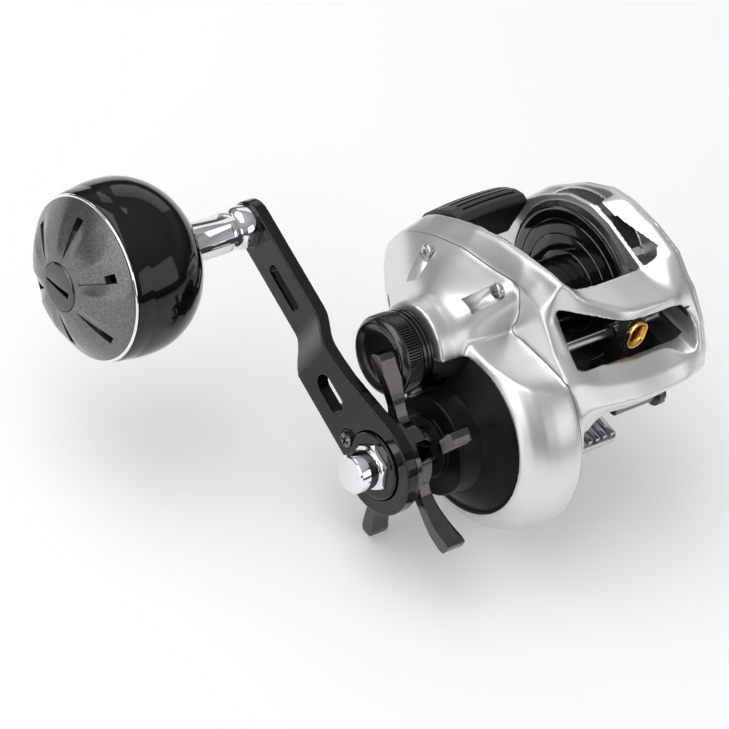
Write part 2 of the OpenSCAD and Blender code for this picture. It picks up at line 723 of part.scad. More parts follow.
/* Knob */
module knob_post() {
    place() color([0.88, 0.88, 0.9]) at_knob() difference() {
        union() {
            rod(-105.6, -77.2, 2.47);
            spin([
                [0, -77.4], [4.3, -77.4], [4.7, -76.6], [4.7, -66.4], [4.2, -65.6], [4.2, -64.8],
                [5.2, -64], [5.2, -58.4], [4.6, arm_out + arm_step], [0, arm_out + arm_step]
            ]);
            rod(-58, knob_side + 0.1, 3);
            rod(knob_side, knob_side + 0.9, 4.2);
        }
        for (i = [0:5]) rotate([i * 60, 0, 0]) translate([-75.8, -1.6, 4.35]) cube([8.4, 3.2, 1]);
    }
}
module knob_body() {
    place() color([0.04, 0.04, 0.045]) at_knob() spin([
        [5.4, -77.6], [8.6, -78.2], [11.4, -79.4], [14.8, -81.8], [17.4, -85.2], [19.3, -90],
        [20.5, -95], [21.2, -99.5], [knob_r, -103.5], [21.3, -105.9], [18.4, -105.9], [18.6, -99],
        [17, -90], [14.4, -86.4], [8.2, -86.4], [8.2, -104.4], [5.02, -104.4], [5.02, -101.6],
        [3.4, -101.6], [3.4, -83.6], [5.02, -83.6], [5.02, -80.6], [3.2, -80.6], [3.2, -77.6]
    ]);
}
module knob_bearings() {
    place() color([0.8, 0.8, 0.82]) at_knob() {
        bearing(-83.4, -80.8, 5, 2.5);
        bearing(-104.2, -101.8, 5, 2.5);
    }
}
module knob_ring() {
    place() color([0.85, 0.85, 0.87]) at_knob() spin([
        [20.2, -107.2], [20.9, -107], [21.2, -106.5], [21.2, -106], [18.6, -106], [18.6, -106.9]
    ]);
}
module knob_cap() {
    place() color([0.3, 0.3, 0.31]) at_knob() difference() {
        spin([
            [6.3, -113.1], [10, -112.6], [14, -111.5], [17.4, -109.8], [19.4, -108.2], [20.1, -107.3],
            [18.5, -107], [18.3, -104.8], [17.2, -104.8], [16.6, -108.2], [12, -110.6], [6.3, -111.4]
        ]);
        for (i = [0:5]) rotate([30 + i * 60, 0, 0]) translate([-114, 9.6, -0.7]) cube([4.5, 6.6, 1.4]);
    }
}
module knob_screw_cap() {
    place() color([0.36, 0.36, 0.37]) at_knob() difference() {
        spin([[0, -113.6], [5, -113.5], [6.1, -113], [6.1, -111], [3.4, -111], [3.4, -106], [0, -106]]);
        translate([-114, -3.6, -0.5]) cube([1.2, 7.2, 1]);
    }
}

/* Pieces on the spool axis */
module spool() {
    half = spool_w / 2;
    arbor_r = arbor_d / 2;
    side = [[arbor_r, 10.4], [spool_r - 0.3, 11.8], [spool_r, 12.1], [spool_r, half], [spool_r - 1.2, half],
        [spool_r - 2, 12.2], [8.6, 11.4], [8.6, 3], [4, 3], [4, half]];
    place() color([0.05, 0.05, 0.055]) spin(concat(
        side, [[1.52, half], [1.52, -half]], [for (i = [len(side) - 1:-1:0]) [side[i][0], -side[i][1]]]
    ));
}
module spool_shaft() {
    place() color([0.8, 0.8, 0.82]) difference() {
        rod(-46.9, 20.9, 1.5);
        translate([pin_x, 0, -2]) cylinder(r = 0.72, h = 4);
    }
}
module spool_pin() {
    place() color([0.7, 0.7, 0.72]) translate([pin_x, 0, -2.6]) cylinder(r = 0.7, h = 5.2);
}
module brake_hub() {
    place() color([0.85, 0.85, 0.83]) {
        ring(13.1, 16.6, 4, 1.52);
        for (i = [0:3]) rotate([i * 90 + 45, 0, 0]) translate([14.9, 0, 3.8]) cylinder(r = 0.6, h = 8);
    }
}
module brake_weight(i) {
    place() color([0.9, 0.9, 0.3]) rotate([i * 90 + 45, 0, 0]) difference() {
        translate([14.9, 0, 8]) cylinder(r = 1.5, h = 3.2);
        translate([14.9, 0, 7]) cylinder(r = 0.66, h = 6);
    }
}
module brake_weight_1() { brake_weight(0); }
module brake_weight_2() { brake_weight(1); }
module brake_weight_3() { brake_weight(2); }
module brake_weight_4() { brake_weight(3); }
module pinion() {
    place() color([0.8, 0.68, 0.4]) difference() {
        union() {
            rod(-36.2, -30.4, 2.3);
            along(-30.5, -22) rotate(drive_dir + 180 / pinion_teeth)
                polygon(gear_outline(pinion_teeth, gear_module, backlash));
            rod(-22.1, -19.9, 2.1);
            rod(-20, -14, 3);
        }
        rod(-37, -13, 1.6);
        translate([-15.9, -0.9, -4]) cube([3, 1.8, 8]);
    }
}
module cast_cap() {
    place() color([0.14, 0.14, 0.15]) spin([
        [0, -49], [6.2, -49.1], [7.6, -49.5], [8.4, -50], [9, -49.9], [9.9, -48.6], [10.2, -48],
        [10.2, -45.2], [9.8, -45], [9.8, -44.4], [10.2, -44.2], [10.2, -41.4], [8.05, -41.4],
        [8.05, -47.4], [0, -47.4]
    ]);
}
module cast_washer() {
    place() color([0.15, 0.15, 0.15]) rod(-47.35, -46.95, 3);
}

frame();
handle_side_plate();
gear_cover();
side_plate_screws();
palm_plate();
palm_release_screw();
brake_race();
palm_bearing();
reel_foot();
foot_screws();
worm_guard();
worm_bearings();
guide_rod();
drive_shaft_bearing();
roller_clutch_bearing();
pinion_bearing();
pinion_outer_bearing();
spool_shaft_bearing();
yoke_springs();
clutch_cam();
clutch_yoke();
thumb_bar();
clutch_link();
drive_shaft();
drive_gear();
drag_washers();
ratchet();
idle_gear();
clutch_sleeve();
spring_washers();
star_drag();
star_nut();
spacer_collar();
handle_arm();
handle_nut();
nut_retainer();
retainer_screw();
knob_post();
knob_body();
knob_cap();
knob_ring();
knob_screw_cap();
knob_bearings();
spool();
spool_shaft();
spool_pin();
brake_hub();
brake_weight_1();
brake_weight_2();
brake_weight_3();
brake_weight_4();
pinion();
worm_shaft();
worm_gear();
guide_carrier();
guide_ring();
pawl();
pawl_cap();
cast_cap();
cast_washer();
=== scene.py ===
import math

import bpy
import bmesh
from mathutils import Matrix, Vector


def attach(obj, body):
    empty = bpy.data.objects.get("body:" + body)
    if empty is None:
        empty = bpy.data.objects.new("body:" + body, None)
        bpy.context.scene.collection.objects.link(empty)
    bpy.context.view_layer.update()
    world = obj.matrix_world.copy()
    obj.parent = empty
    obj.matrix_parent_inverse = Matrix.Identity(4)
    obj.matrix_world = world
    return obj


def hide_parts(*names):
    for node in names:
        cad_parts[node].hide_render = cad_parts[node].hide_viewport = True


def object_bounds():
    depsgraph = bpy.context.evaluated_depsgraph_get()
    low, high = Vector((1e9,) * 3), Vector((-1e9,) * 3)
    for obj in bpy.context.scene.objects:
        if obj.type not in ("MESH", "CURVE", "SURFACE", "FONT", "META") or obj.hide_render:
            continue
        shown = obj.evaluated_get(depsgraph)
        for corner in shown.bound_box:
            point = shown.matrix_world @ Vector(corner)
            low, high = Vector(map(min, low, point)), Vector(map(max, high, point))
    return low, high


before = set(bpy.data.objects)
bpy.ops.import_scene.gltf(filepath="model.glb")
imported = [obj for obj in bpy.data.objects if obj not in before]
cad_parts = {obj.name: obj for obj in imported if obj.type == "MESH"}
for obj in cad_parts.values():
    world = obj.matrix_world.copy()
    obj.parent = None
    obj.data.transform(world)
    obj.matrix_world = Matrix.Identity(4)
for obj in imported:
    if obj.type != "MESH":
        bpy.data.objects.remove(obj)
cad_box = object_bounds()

MM = 0.001
# Middle of the spool axis, in millimetres from the centre of the foot's underside
SPOOL = Vector((-4.0, 1.0, 26.5))
# Axes along X, as (y, z) from the spool axis
DRIVE = (-17.6095, -16.3066)
WORM = (-28.0548, -3.8584)
ROD = (-24.3, 10.0)
ARM_ANGLE = math.radians(19.8)
ARM_LENGTH = 69.0
KNOB = (DRIVE[0] + ARM_LENGTH * math.cos(ARM_ANGLE), DRIVE[1] + ARM_LENGTH * math.sin(ARM_ANGLE))
CENTRE = (0.0, 0.0)
RELEASE = (-27.0, -17.0)
GUIDE_X = 3.5
GUIDE_Z = 13.4
CHAMBER_R = 22.8
SEAM_X = -19.0


# ---------------------------------------------------------------- mesh tools

def linked(name, data):
    """A new object in the scene."""
    obj = bpy.data.objects.new(name, data)
    bpy.context.scene.collection.objects.link(obj)
    return obj


def make(name, points, faces):
    """A mesh object from points in millimetres from the spool axis."""
    mesh = bpy.data.meshes.new(name)
    mesh.from_pydata([(Vector(p) + SPOOL) * MM for p in points], [], faces)
    obj = linked(name, mesh)
    tidy_normals(obj)
    return obj


def tidy_normals(obj):
    bm = bmesh.new()
    bm.from_mesh(obj.data)
    bmesh.ops.recalc_face_normals(bm, faces=bm.faces)
    bm.to_mesh(obj.data)
    bm.free()


def bake(obj):
    """Applies the object's modifiers."""
    graph = bpy.context.evaluated_depsgraph_get()
    mesh = bpy.data.meshes.new_from_object(obj.evaluated_get(graph))
    obj.modifiers.clear()
    old = obj.data
    obj.data = mesh
    bpy.data.meshes.remove(old)
    return obj


def lathe(name, profile, axis=CENTRE, steps=96, ripple=None):
    """Revolves a list of (x, r) about an axis along X.

    A profile that ends on the axis at both ends is a solid of revolution, any other is closed into a ring.
    """
    points, rings = [], []
    for x, r in profile:
        if r < 1e-6:
            rings.append([len(points)])
            points.append((x, axis[0], axis[1]))
            continue
        rings.append(list(range(len(points), len(points) + steps)))
        for k in range(steps):
            a = 2 * math.pi * k / steps
            q = r + (ripple(x, r, k) if ripple else 0.0)
            points.append((x, axis[0] + q * math.cos(a), axis[1] + q * math.sin(a)))
    closed = len(rings[0]) > 1 or len(rings[-1]) > 1
    pairs = list(zip(rings, rings[1:] + ([rings[0]] if closed else [])))
    faces = []
    for a, b in pairs:
        for k in range(steps):
            n = (k + 1) % steps
            if len(a) == 1 and len(b) == 1:
                continue
            if len(a) == 1:
                faces.append((a[0], b[n], b[k]))
            elif len(b) == 1:
                faces.append((a[k], a[n], b[0]))
            else:
                faces.append((a[k], a[n], b[n], b[k]))
    return make(name, points, faces)


def pull(name, near, far):
    """A solid between two outlines with the same number of points."""
    n = len(near)
    sides = [(k, (k + 1) % n, n + (k + 1) % n, n + k) for k in range(n)]
    return make(name, near + far, [tuple(range(n)), tuple(range(n, 2 * n))] + sides)


def prism(name, outline, x0, x1):
    """A [y, z] outline pulled from x0 to x1."""
    return pull(name, *([(x, y, z) for y, z in outline] for x in (x0, x1)))


def front_prism(name, outline, y0, y1):
    """An [x, z] outline pulled from y0 to y1."""
    return pull(name, *([(x, y, z) for x, z in outline] for y in (y0, y1)))


def plan_prism(name, outline, z0, z1):
    """An [x, y] outline pulled from z0 to z1."""
    return pull(name, *([(x, y, z) for x, y in outline] for z in (z0, z1)))


def spline(a, b, c, d, t):
    """Catmull-Rom from b to c."""
    return [
        0.5 * (2 * q + (r - p) * t + (2 * p - 5 * q + 4 * r - s) * t * t + (3 * q - p - 3 * r + s) * t ** 3)
        for p, q, r, s in zip(a, b, c, d)
    ]


def loft(name, sections, per=5):
    """A skin over sections, each (x, [(y, z), ...]) with the same number of points."""
    rows = [[(x, y, z) for y, z in line] for x, line in sections]
    fine = []
    for k in range(len(rows) - 1):
        a, b, c, d = (rows[min(max(k + j, 0), len(rows) - 1)] for j in (-1, 0, 1, 2))
        for i in range(per):
            fine.append([tuple(spline(p, q, r, s, i / per)) for p, q, r, s in zip(a, b, c, d)])
    fine.append(rows[-1])
    n = len(rows[0])
    points = [p for row in fine for p in row]
    faces = [
        (i * n + k, i * n + (k + 1) % n, (i + 1) * n + (k + 1) % n, (i + 1) * n + k)
        for i in range(len(fine) - 1)
        for k in range(n)
    ]
    last = (len(fine) - 1) * n
    faces += [tuple(range(n)), tuple(range(last, last + n))]
    return make(name, points, faces)


def strip(name, sections):
    """A bar through four-cornered sections."""
    n = len(sections)
    faces = [(i * 4 + k, i * 4 + (k + 1) % 4, (i + 1) * 4 + (k + 1) % 4, (i + 1) * 4 + k)
             for i in range(n - 1) for k in range(4)]
    ends = [tuple(range(4)), tuple(range(4 * n - 4, 4 * n))]
    return make(name, [p for s in sections for p in s], faces + ends)


def circle(r, y=0.0, z=0.0, steps=32, start=0.0, end=360.0):
    full = abs(end - start) >= 360
    count = steps if full else steps + 1
    return [
        (y + r * math.cos(math.radians(start + (end - start) * k / steps)),
         z + r * math.sin(math.radians(start + (end - start) * k / steps)))
        for k in range(count)
    ]


def rod(name, x0, x1, r, axis=CENTRE, steps=64):
    return prism(name, circle(r, axis[0], axis[1], steps), x0, x1)


def extent(mesh):
    points = [v.co for v in mesh.vertices]
    return [(min(p[k] for p in points), max(p[k] for p in points)) for k in range(3)] if points else None


def sound(new, old, kind):
    """A cut must leave something, must change the mesh and can't make it larger."""
    if not new.vertices or len(new.vertices) == len(old.vertices):
        return False
    if kind == "UNION":
        return True
    slack = 1e-5
    return all(a[0] > b[0] - slack and a[1] < b[1] + slack for a, b in zip(extent(new), extent(old)))


def combine(obj, tools, kind="DIFFERENCE"):
    """Cuts or adds tools, which are used up. The second solver runs where the first one fails."""
    for tool in tools:
        for solver in ("MANIFOLD", "EXACT"):
            mod = obj.modifiers.new("join", "BOOLEAN")
            mod.operation = kind
            mod.solver = solver
            mod.object = tool
            graph = bpy.context.evaluated_depsgraph_get()
            mesh = bpy.data.meshes.new_from_object(obj.evaluated_get(graph))
            obj.modifiers.clear()
            if sound(mesh, obj.data, kind):
                old = obj.data
                obj.data = mesh
                bpy.data.meshes.remove(old)
                break
            bpy.data.meshes.remove(mesh)
        bpy.data.objects.remove(tool)
    return obj


def merge(name, parts):
    """One mesh from several, which may overlap."""
    bm = bmesh.new()
    for p in parts:
        bm.from_mesh(p.data)
        bpy.data.objects.remove(p)
    mesh = bpy.data.meshes.new(name)
    bm.to_mesh(mesh)
    bm.free()
    return linked(name, mesh)


def soften(obj, size, passes):
    """One closed skin over everything in the mesh, with its edges rounded."""
    mod = obj.modifiers.new("skin", "REMESH")
    mod.mode = "VOXEL"
    mod.voxel_size = size * MM
    mod.use_smooth_shade = True
    if passes:
        soft = obj.modifiers.new("soft", "SMOOTH")
        soft.factor = 0.5
        soft.iterations = passes
    return bake(obj)


def edges(obj, width=0.25, segments=2, angle=35):
    """Small bevels on every hard edge."""
    mod = obj.modifiers.new("bevel", "BEVEL")
    mod.width = width * MM
    mod.segments = segments
    mod.limit_method = "ANGLE"
    mod.angle_limit = math.radians(angle)
    mod.use_clamp_overlap = True
    return bake(obj)


def shade(obj, angle=38):
    bm = bmesh.new()
    bm.from_mesh(obj.data)
    limit = math.radians(angle)
    for f in bm.faces:
        f.smooth = True
    for e in bm.edges:
        e.smooth = len(e.link_faces) == 2 and e.calc_face_angle(0.0) < limit
    bm.to_mesh(obj.data)
    bm.free()
    return obj


def turn_about_x(obj, axis, degrees):
    pivot = (Vector((0, axis[0], axis[1])) + SPOOL) * MM
    turn = Matrix.Translation(pivot) @ Matrix.Rotation(math.radians(degrees), 4,
        "X") @ Matrix.Translation(-pivot)
    obj.data.transform(turn)
    return obj


def place(obj, body, nodes, look, angle=38):
    """The finished piece: its shading, material, body and the CAD nodes it stands for."""
    shade(obj, angle)
    obj.data.materials.clear()
    obj.data.materials.append(look)
    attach(obj, body)
    if nodes:
        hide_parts(*nodes)
    return obj


# ---------------------------------------------------------------- materials

def finish(name, colour, rough, metal=1.0, coat=0.0, tint=0.08, rough_change=0.08, grain=900.0, bump=0.04,
           wear=0.0, wear_colour=(0.8, 0.8, 0.8), speckle=0.0, turned=False, specular=0.5):
    """A procedural surface: cloudy colour, fine bump, worn edges, metal flake and lathe marks."""
    mat = bpy.data.materials.new(name)
    mat.use_nodes = True
    nodes, links = mat.node_tree.nodes, mat.node_tree.links
    shader = nodes["Principled BSDF"]
    shader.inputs["Metallic"].default_value = metal
    shader.inputs["Coat Weight"].default_value = coat
    shader.inputs["Coat Roughness"].default_value = 0.05
    shader.inputs["Specular IOR Level"].default_value = specular
    where = nodes.new("ShaderNodeTexCoord")

    cloud = nodes.new("ShaderNodeTexNoise")
    cloud.inputs["Scale"].default_value = 130.0
    cloud.inputs["Detail"].default_value = 3.0
    links.new(where.outputs["Object"], cloud.inputs["Vector"])
    mix = nodes.new("ShaderNodeMix")
    mix.data_type = "RGBA"
    mix.inputs["A"].default_value = (*[c * (1 - tint) for c in colour], 1)
    mix.inputs["B"].default_value = (*[min(c * (1 + tint), 1) for c in colour], 1)
    links.new(cloud.outputs["Fac"], mix.inputs["Factor"])
    out = mix.outputs["Result"]

    if speckle:
        flake = nodes.new("ShaderNodeTexVoronoi")
        flake.inputs["Scale"].default_value = 4200.0
        links.new(where.outputs["Object"], flake.inputs["Vector"])
        bright = nodes.new("ShaderNodeMapRange")
        bright.inputs["From Min"].default_value = 0.0
        bright.inputs["From Max"].default_value = 1.0
        bright.inputs["To Min"].default_value = 1.0 - speckle
        bright.inputs["To Max"].default_value = 1.0 + speckle
        links.new(flake.outputs["Color"], bright.inputs["Value"])
        flecked = nodes.new("ShaderNodeVectorMath")
        flecked.operation = "SCALE"
        links.new(out, flecked.inputs[0])
        links.new(bright.outputs["Result"], flecked.inputs["Scale"])
        out = flecked.outputs["Vector"]
    if wear:
        shape = nodes.new("ShaderNodeNewGeometry")
        edge = nodes.new("ShaderNodeMapRange")
        edge.inputs["From Min"].default_value = 0.53
        edge.inputs["From Max"].default_value = 0.62
        edge.inputs["To Max"].default_value = wear
        links.new(shape.outputs["Pointiness"], edge.inputs["Value"])
        worn = nodes.new("ShaderNodeMix")
        worn.data_type = "RGBA"
        worn.inputs["B"].default_value = (*wear_colour, 1)
        links.new(edge.outputs["Result"], worn.inputs["Factor"])
        links.new(out, worn.inputs["A"])
        out = worn.outputs["Result"]
    links.new(out, shader.inputs["Base Color"])

    fine = nodes.new("ShaderNodeTexNoise")
    fine.inputs["Scale"].default_value = grain
    fine.inputs["Detail"].default_value = 4.0
    if turned:
        stretch = nodes.new("ShaderNodeMapping")
        stretch.inputs["Scale"].default_value = (9.0, 1.0, 1.0)
        links.new(where.outputs["Object"], stretch.inputs["Vector"])
        links.new(stretch.outputs["Vector"], fine.inputs["Vector"])
    else:
        links.new(where.outputs["Object"], fine.inputs["Vector"])
    level = nodes.new("ShaderNodeMapRange")
    level.inputs["To Min"].default_value = max(rough - rough_change, 0.02)
    level.inputs["To Max"].default_value = rough + rough_change
    links.new(fine.outputs["Fac"], level.inputs["Value"])
    links.new(level.outputs["Result"], shader.inputs["Roughness"])
    height = nodes.new("ShaderNodeBump")
    height.inputs["Strength"].default_value = bump
    height.inputs["Distance"].default_value = 0.0001
    links.new(fine.outputs["Fac"], height.inputs["Height"])
    links.new(height.outputs["Normal"], shader.inputs["Normal"])
    return mat


def looks():
    silver = (0.76, 0.768, 0.768)
    return {
        "silver": finish("satin_silver", silver, 0.36, 0.9, coat=0.12, tint=0.02, rough_change=0.04,
            grain=1500, bump=0.03, speckle=0.03),
        # painted shade: near-black material for the insides of the window room and the pockets of the silver
        # casting
        "inner": finish("painted_shade_inside", (0.05, 0.05, 0.053), 0.45, 0.6, tint=0.2, bump=0.2),
        "cover": finish("satin_black", (0.004, 0.004, 0.004), 0.34, 0.0, coat=0.0, specular=0.12, tint=0.3,
            bump=0.05, wear=0.25, wear_colour=(0.2, 0.2, 0.2)),
        "thumb": finish("matte_black", (0.02, 0.02, 0.021), 0.38, 0.0, tint=0.3, grain=2600, bump=0.35,
            wear=0.2, wear_colour=(0.1, 0.1, 0.1)),
        "arm": finish("gunmetal_gloss", (0.028, 0.026, 0.025), 0.15, 0.9, coat=0.3, tint=0.25,
            rough_change=0.05, bump=0.03, wear=0.3, wear_colour=(0.22, 0.22, 0.22)),
        "star": finish("gunmetal_satin", (0.11, 0.104, 0.10), 0.18, 1.0, coat=0.15, tint=0.10, bump=0.03),
        "cap": finish("gunmetal_dark", (0.075, 0.072, 0.07), 0.22, 1.0, coat=0.15, tint=0.2, bump=0.04,
            turned=True),
        "chrome": finish("polished_chrome", (0.86, 0.87, 0.88), 0.06, 1.0, tint=0.02, rough_change=0.03,
            bump=0.01),
        "steel": finish("turned_steel", (0.56, 0.56, 0.57), 0.26, 1.0, tint=0.1, bump=0.08, turned=True),
        "dark_steel": finish("dark_steel", (0.10, 0.10, 0.105), 0.25, 1.0, tint=0.2, bump=0.06, wear=0.6,
            wear_colour=(0.4, 0.4, 0.4)),
        "brass": finish("cut_brass", (0.70, 0.50, 0.20), 0.27, 1.0, tint=0.1, bump=0.06),
        "gold": finish("gold_hard_coat", (0.80, 0.50, 0.13), 0.16, 1.0, coat=0.3, tint=0.1, bump=0.02),
        "knob": finish("gloss_black", (0.003, 0.003, 0.0033), 0.07, 0.0, coat=0.22, specular=0.3, tint=0.3,
            rough_change=0.03, grain=300, bump=0.01),
        "knob_cap": finish("metallic_charcoal", (0.15, 0.148, 0.145), 0.36, 0.85, coat=0.45, tint=0.05,
            bump=0.12, grain=3200, speckle=0.45),
        "spool": finish("spool_black", (0.006, 0.006, 0.0065), 0.12, 0.3, coat=0.7, tint=0.3, bump=0.02,
            turned=True),
        "rim": finish("spool_rim", (0.16, 0.155, 0.15), 0.17, 1.0, tint=0.1, bump=0.03, turned=True),
        "acetal": finish("acetal", (0.72, 0.70, 0.60), 0.45, 0.0, tint=0.05, bump=0.1),
        "alloy": finish("turned_alloy", (0.62, 0.63, 0.64), 0.3, 1.0, tint=0.08, bump=0.08, turned=True),
        "carrier": finish("moulded_black", (0.008, 0.008, 0.008), 0.35, 0.0, tint=0.3, bump=0.15),
        "fibre": finish("drag_fibre", (0.03, 0.03, 0.033), 0.6, 0.1, tint=0.4, bump=0.5),
        "foot": finish("polished_alloy", (0.66, 0.67, 0.68), 0.2, 1.0, tint=0.05, bump=0.05, grain=700),
    }


# ---------------------------------------------------------------- housing

# Rear outline of the handle side, above and below, and the outline round the gears
REAR_TOP = [(33.8, 1.7), (31.9, 4.3), (27.4, 7.6), (21.5, 10.9), (11.4, 14.9), (0.7, 16.9)]
REAR_LOW = [(20, -28), (30, -18.5), (35, -10), (36, -3)]
GEAR_SIDE = [(-43.7, -5.3), (-45.9, -16.3), (-43, -29), (-34, -39.3), (-17.6, -44.6), (-7, -42.5), (5, -34.5)]


def drawn_in(points, share):
    """Points moved towards the drive axis."""
    return [(DRIVE[0] + (y - DRIVE[0]) * share, DRIVE[1] + (z - DRIVE[1]) * share) for y, z in points]


# Where the handle side plate meets the frame
SEAM = [
    (34.6, 1.0), (32.8, 3.4), (31.1, 5.3), (26.6, 8.6), (20.7, 11.9), (10.8, 15.8), (0, 17.9),
    (-7.6, 19.6), (-9.4, 18.9), (-10.8, 16.2), (-11.7, 12.9), (-11.7, 10.4), (-11.1, 8.2),
    (-11.4, 7.1), (-12.8, 6.8), (-15.2, 7.3), (-18.4, 7.5), (-24.6, 7.6), (-30.4, 7.5), (-35.0, 6.6),
    (-38.2, 5.2)
]
# The frame's outer line at stations along X. The points mean the same thing at each: rear, top,
# front edge of the shelf, window, lip, nose, underside
STATIONS = [
    (-19.0, REAR_LOW + REAR_TOP + [
        (-8.3, 19.6), (-12.5, 19.6), (-17.5, 18.4), (-21.5, 15.6), (-26.5, 10.8), (-32.6, 7.6),
        (-39.4, 1.0)
    ] + GEAR_SIDE),
    (-16.5, REAR_LOW + [
        (32.6, 4.6), (30.4, 7.2), (26.2, 10.4), (20.5, 14), (11.7, 17.9), (1.8, 20.4), (-6.4, 22.8),
        (-12.6, 23.2), (-18.3, 22.0), (-20.7, 17.2), (-27.4, 11.2), (-34, 7.2), (-39.0, 1.4)
    ] + drawn_in(GEAR_SIDE, 0.92)),
    (-14.0, REAR_LOW + [
        (31.6, 7.0), (30.5, 8.9), (26.9, 12), (20.5, 15.7), (12.7, 19.5), (4.5, 22.2), (-3, 23.9),
        (-12.7, 25.6), (-18.2, 25.8), (-20.3, 16.4), (-28.4, 10.4), (-34.4, 7.0), (-38.9, 1.8)
    ] + drawn_in(GEAR_SIDE, 0.80)),
    (-9.0, REAR_LOW + [
        (31.6, 7.0), (30.5, 8.9), (26.9, 12), (20.5, 15.7), (12.7, 19.5), (4.5, 22.2), (-4, 23),
        (-15, 22.6), (-22, 22.4), (-24.4, 17.2), (-31.0, 8.4), (-35.6, 5.9), (-39.6, 2.0),
        (-38.4, -2.2), (-35.0, -5.0), (-32, -9.6), (-26, -19), (-17.6, -28), (-7, -31), (5, -31)
    ]),
    (-1.0, REAR_LOW + [
        (31.6, 7.0), (30.5, 8.9), (26.9, 12), (20.5, 15.7), (12.7, 19.5), (4.5, 22), (-6, 21.6),
        (-17, 21.2), (-28, 21.1), (-29.5, 18.7), (-32.8, 7.9), (-37.2, 5.3), (-40.7, 1.8),
        (-38.6, -2.4), (-35.4, -5.3), (-32, -9.6), (-26, -19), (-17.6, -28), (-7, -31), (5, -31)
    ]),
    (8.0, REAR_LOW + [
        (31.6, 6.6), (30.5, 8.6), (26, 12), (20, 16.4), (12.4, 20.6), (4, 22.8), (-6, 21.8),
        (-17, 21.2), (-29.6, 21), (-30.4, 18.7), (-33, 7.7), (-37.6, 4.9), (-40.9, 1.8), (-38.5, -2.4),
        (-35.5, -5.1), (-32, -9.6), (-26, -19), (-17.6, -28), (-7, -31), (5, -31)
    ]),
    (13.0, REAR_LOW + [
        (32, 2.6), (29, 7), (23.6, 10.4), (18.3, 16.4), (11, 22.4), (3.5, 24.9), (-3.6, 24.8),
        (-17, 21.6), (-29.8, 21.1), (-30.2, 18.7), (-33.2, 7.8), (-37.6, 5.4), (-40.8, 2), (-38, -2),
        (-34.8, -5), (-32, -9.4), (-25.4, -18.4), (-17.6, -26.6), (-7, -29.5), (5, -30)
    ]),
    (16.5, REAR_LOW + [
        (32, 1), (30.6, 3.4), (26.6, 8.6), (18.6, 17.4), (10, 23.6), (1.4, 26.6), (-7.2, 26.4),
        (-19.4, 24.6), (-28.6, 21.4), (-31.2, 18.4), (-34.4, 10.4), (-38.4, 6.4), (-40.6, 2.4),
        (-37.6, -1.7), (-34.4, -5.2), (-31.8, -9.6), (-25, -18.8), (-17.6, -26.2), (-7, -28.6),
        (5, -29)
    ]),
    (20.0, [
        (20, -24.4), (30, -14), (33.2, -8), (33.4, -3), (32, 0.2), (30.2, 2.9), (22.9, 13.4),
        (12.3, 23), (5.4, 26.9), (-1.7, 28.4), (-11.7, 28.1), (-20.8, 26.3), (-26, 22.4),
        (-29.5, 20.6), (-35, 14.9), (-38.9, 8.6), (-40.3, 3.6), (-37.4, -1.6), (-34.2, -5.6),
        (-31.4, -10.2), (-24.6, -19.2), (-17.6, -26), (-7, -28), (5, -28.4)
    ]),
    (21.6, [
        (19.6, -24), (29.6, -13.8), (32.8, -8), (33, -3), (31.6, 0.2), (29.6, 2.9), (22.4, 13),
        (12, 22.4), (5.2, 26.4), (-1.7, 27.8), (-11.5, 27.5), (-20.4, 25.8), (-25.5, 22), (-29, 20.2),
        (-34.4, 14.6), (-38.2, 8.5), (-39.6, 3.6), (-36.8, -1.6), (-33.8, -5.6), (-31, -10),
        (-24.2, -18.8), (-17.4, -25.6), (-7, -27.6), (5, -28)
    ]),
]


def reach(outline, angle):
    """Distance from the spool axis to an outline, in one direction."""
    d = Vector((math.cos(angle), math.sin(angle)))
    best = 0.0
    for k, p in enumerate(outline):
        a, b = Vector(p), Vector(outline[(k + 1) % len(outline)])
        e = b - a
        det = d.x * -e.y + e.x * d.y
        if abs(det) < 1e-9:
            continue
        r = (a.x * -e.y + e.x * a.y) / det
        t = (d.x * a.y - d.y * a.x) / det
        if r > 0 and -1e-6 <= t <= 1 + 1e-6:
            best = max(best, r)
    return best


def side_shell():
    """Handle side from the seam out to the collar: a dome that turns into a flare."""
    base = REAR_LOW + REAR_TOP + [(-8.4, 19.4), (-10.8, 15), (-10.4, 6), (-11.2, -20), (5, -34.5)]
    steps = 120
    angles = [2 * math.pi * k / steps for k in range(steps)]
    raw = [reach(base, a) for a in angles]
    outer = [sum(raw[(k + j) % steps] for j in range(-2, 3)) / 5 for k in range(steps)]
    share = [(SEAM_X, 1.0), (-20.2, 0.94), (-21.4, 0.86), (-22.8, 0.76), (-24.4, 0.66), (-26.2, 0.55),
        (-28.2, 0.43),
             (-30.0, 0.31), (-31.4, 0.20), (-32.8, 0.09), (-34.2, 0.02), (-35.5, 0.0)]
    rows = []
    for x, c in share:
        radii = [c * max(r, 11.4) + (1 - c) * 11.8 for r in outer]
        rows.append((x, [(q * math.cos(a), q * math.sin(a)) for q, a in zip(radii, angles)]))
    return loft("side_shell", rows, per=3)


def gear_housing():
    barrel = lathe("barrel", [
        (-14, 0), (-14, 22.6), (-16.5, 25.8), (-18.6, 28.0), (-19.2, 28.3), (-21.5, 28.3), (-25, 27.7),
        (-28.5, 26.4), (-31.2, 24.4), (-32.9, 22.3), (-33.2, 21.6), (-33.2, 0)
    ], DRIVE, 128)
    line = [(20, 6.4), (20, 60), (-60, 60), (-60, 1), (-37, 6.4), (-30, 7.0), (-24, 7.1), (-12, 6.4)]
    return combine(barrel, [prism("above", line, -40, -10)])


def body_form():
    """Frame and side plate as one flowing form, before anything is cut out of it."""
    parts = [
        loft("skin", STATIONS, per=6),
        side_shell(),
        gear_housing(),
        rod("collar", -40.2, -25, 11.5, steps=96),
    ]
    return soften(merge("body_form", parts), 0.5, 9)


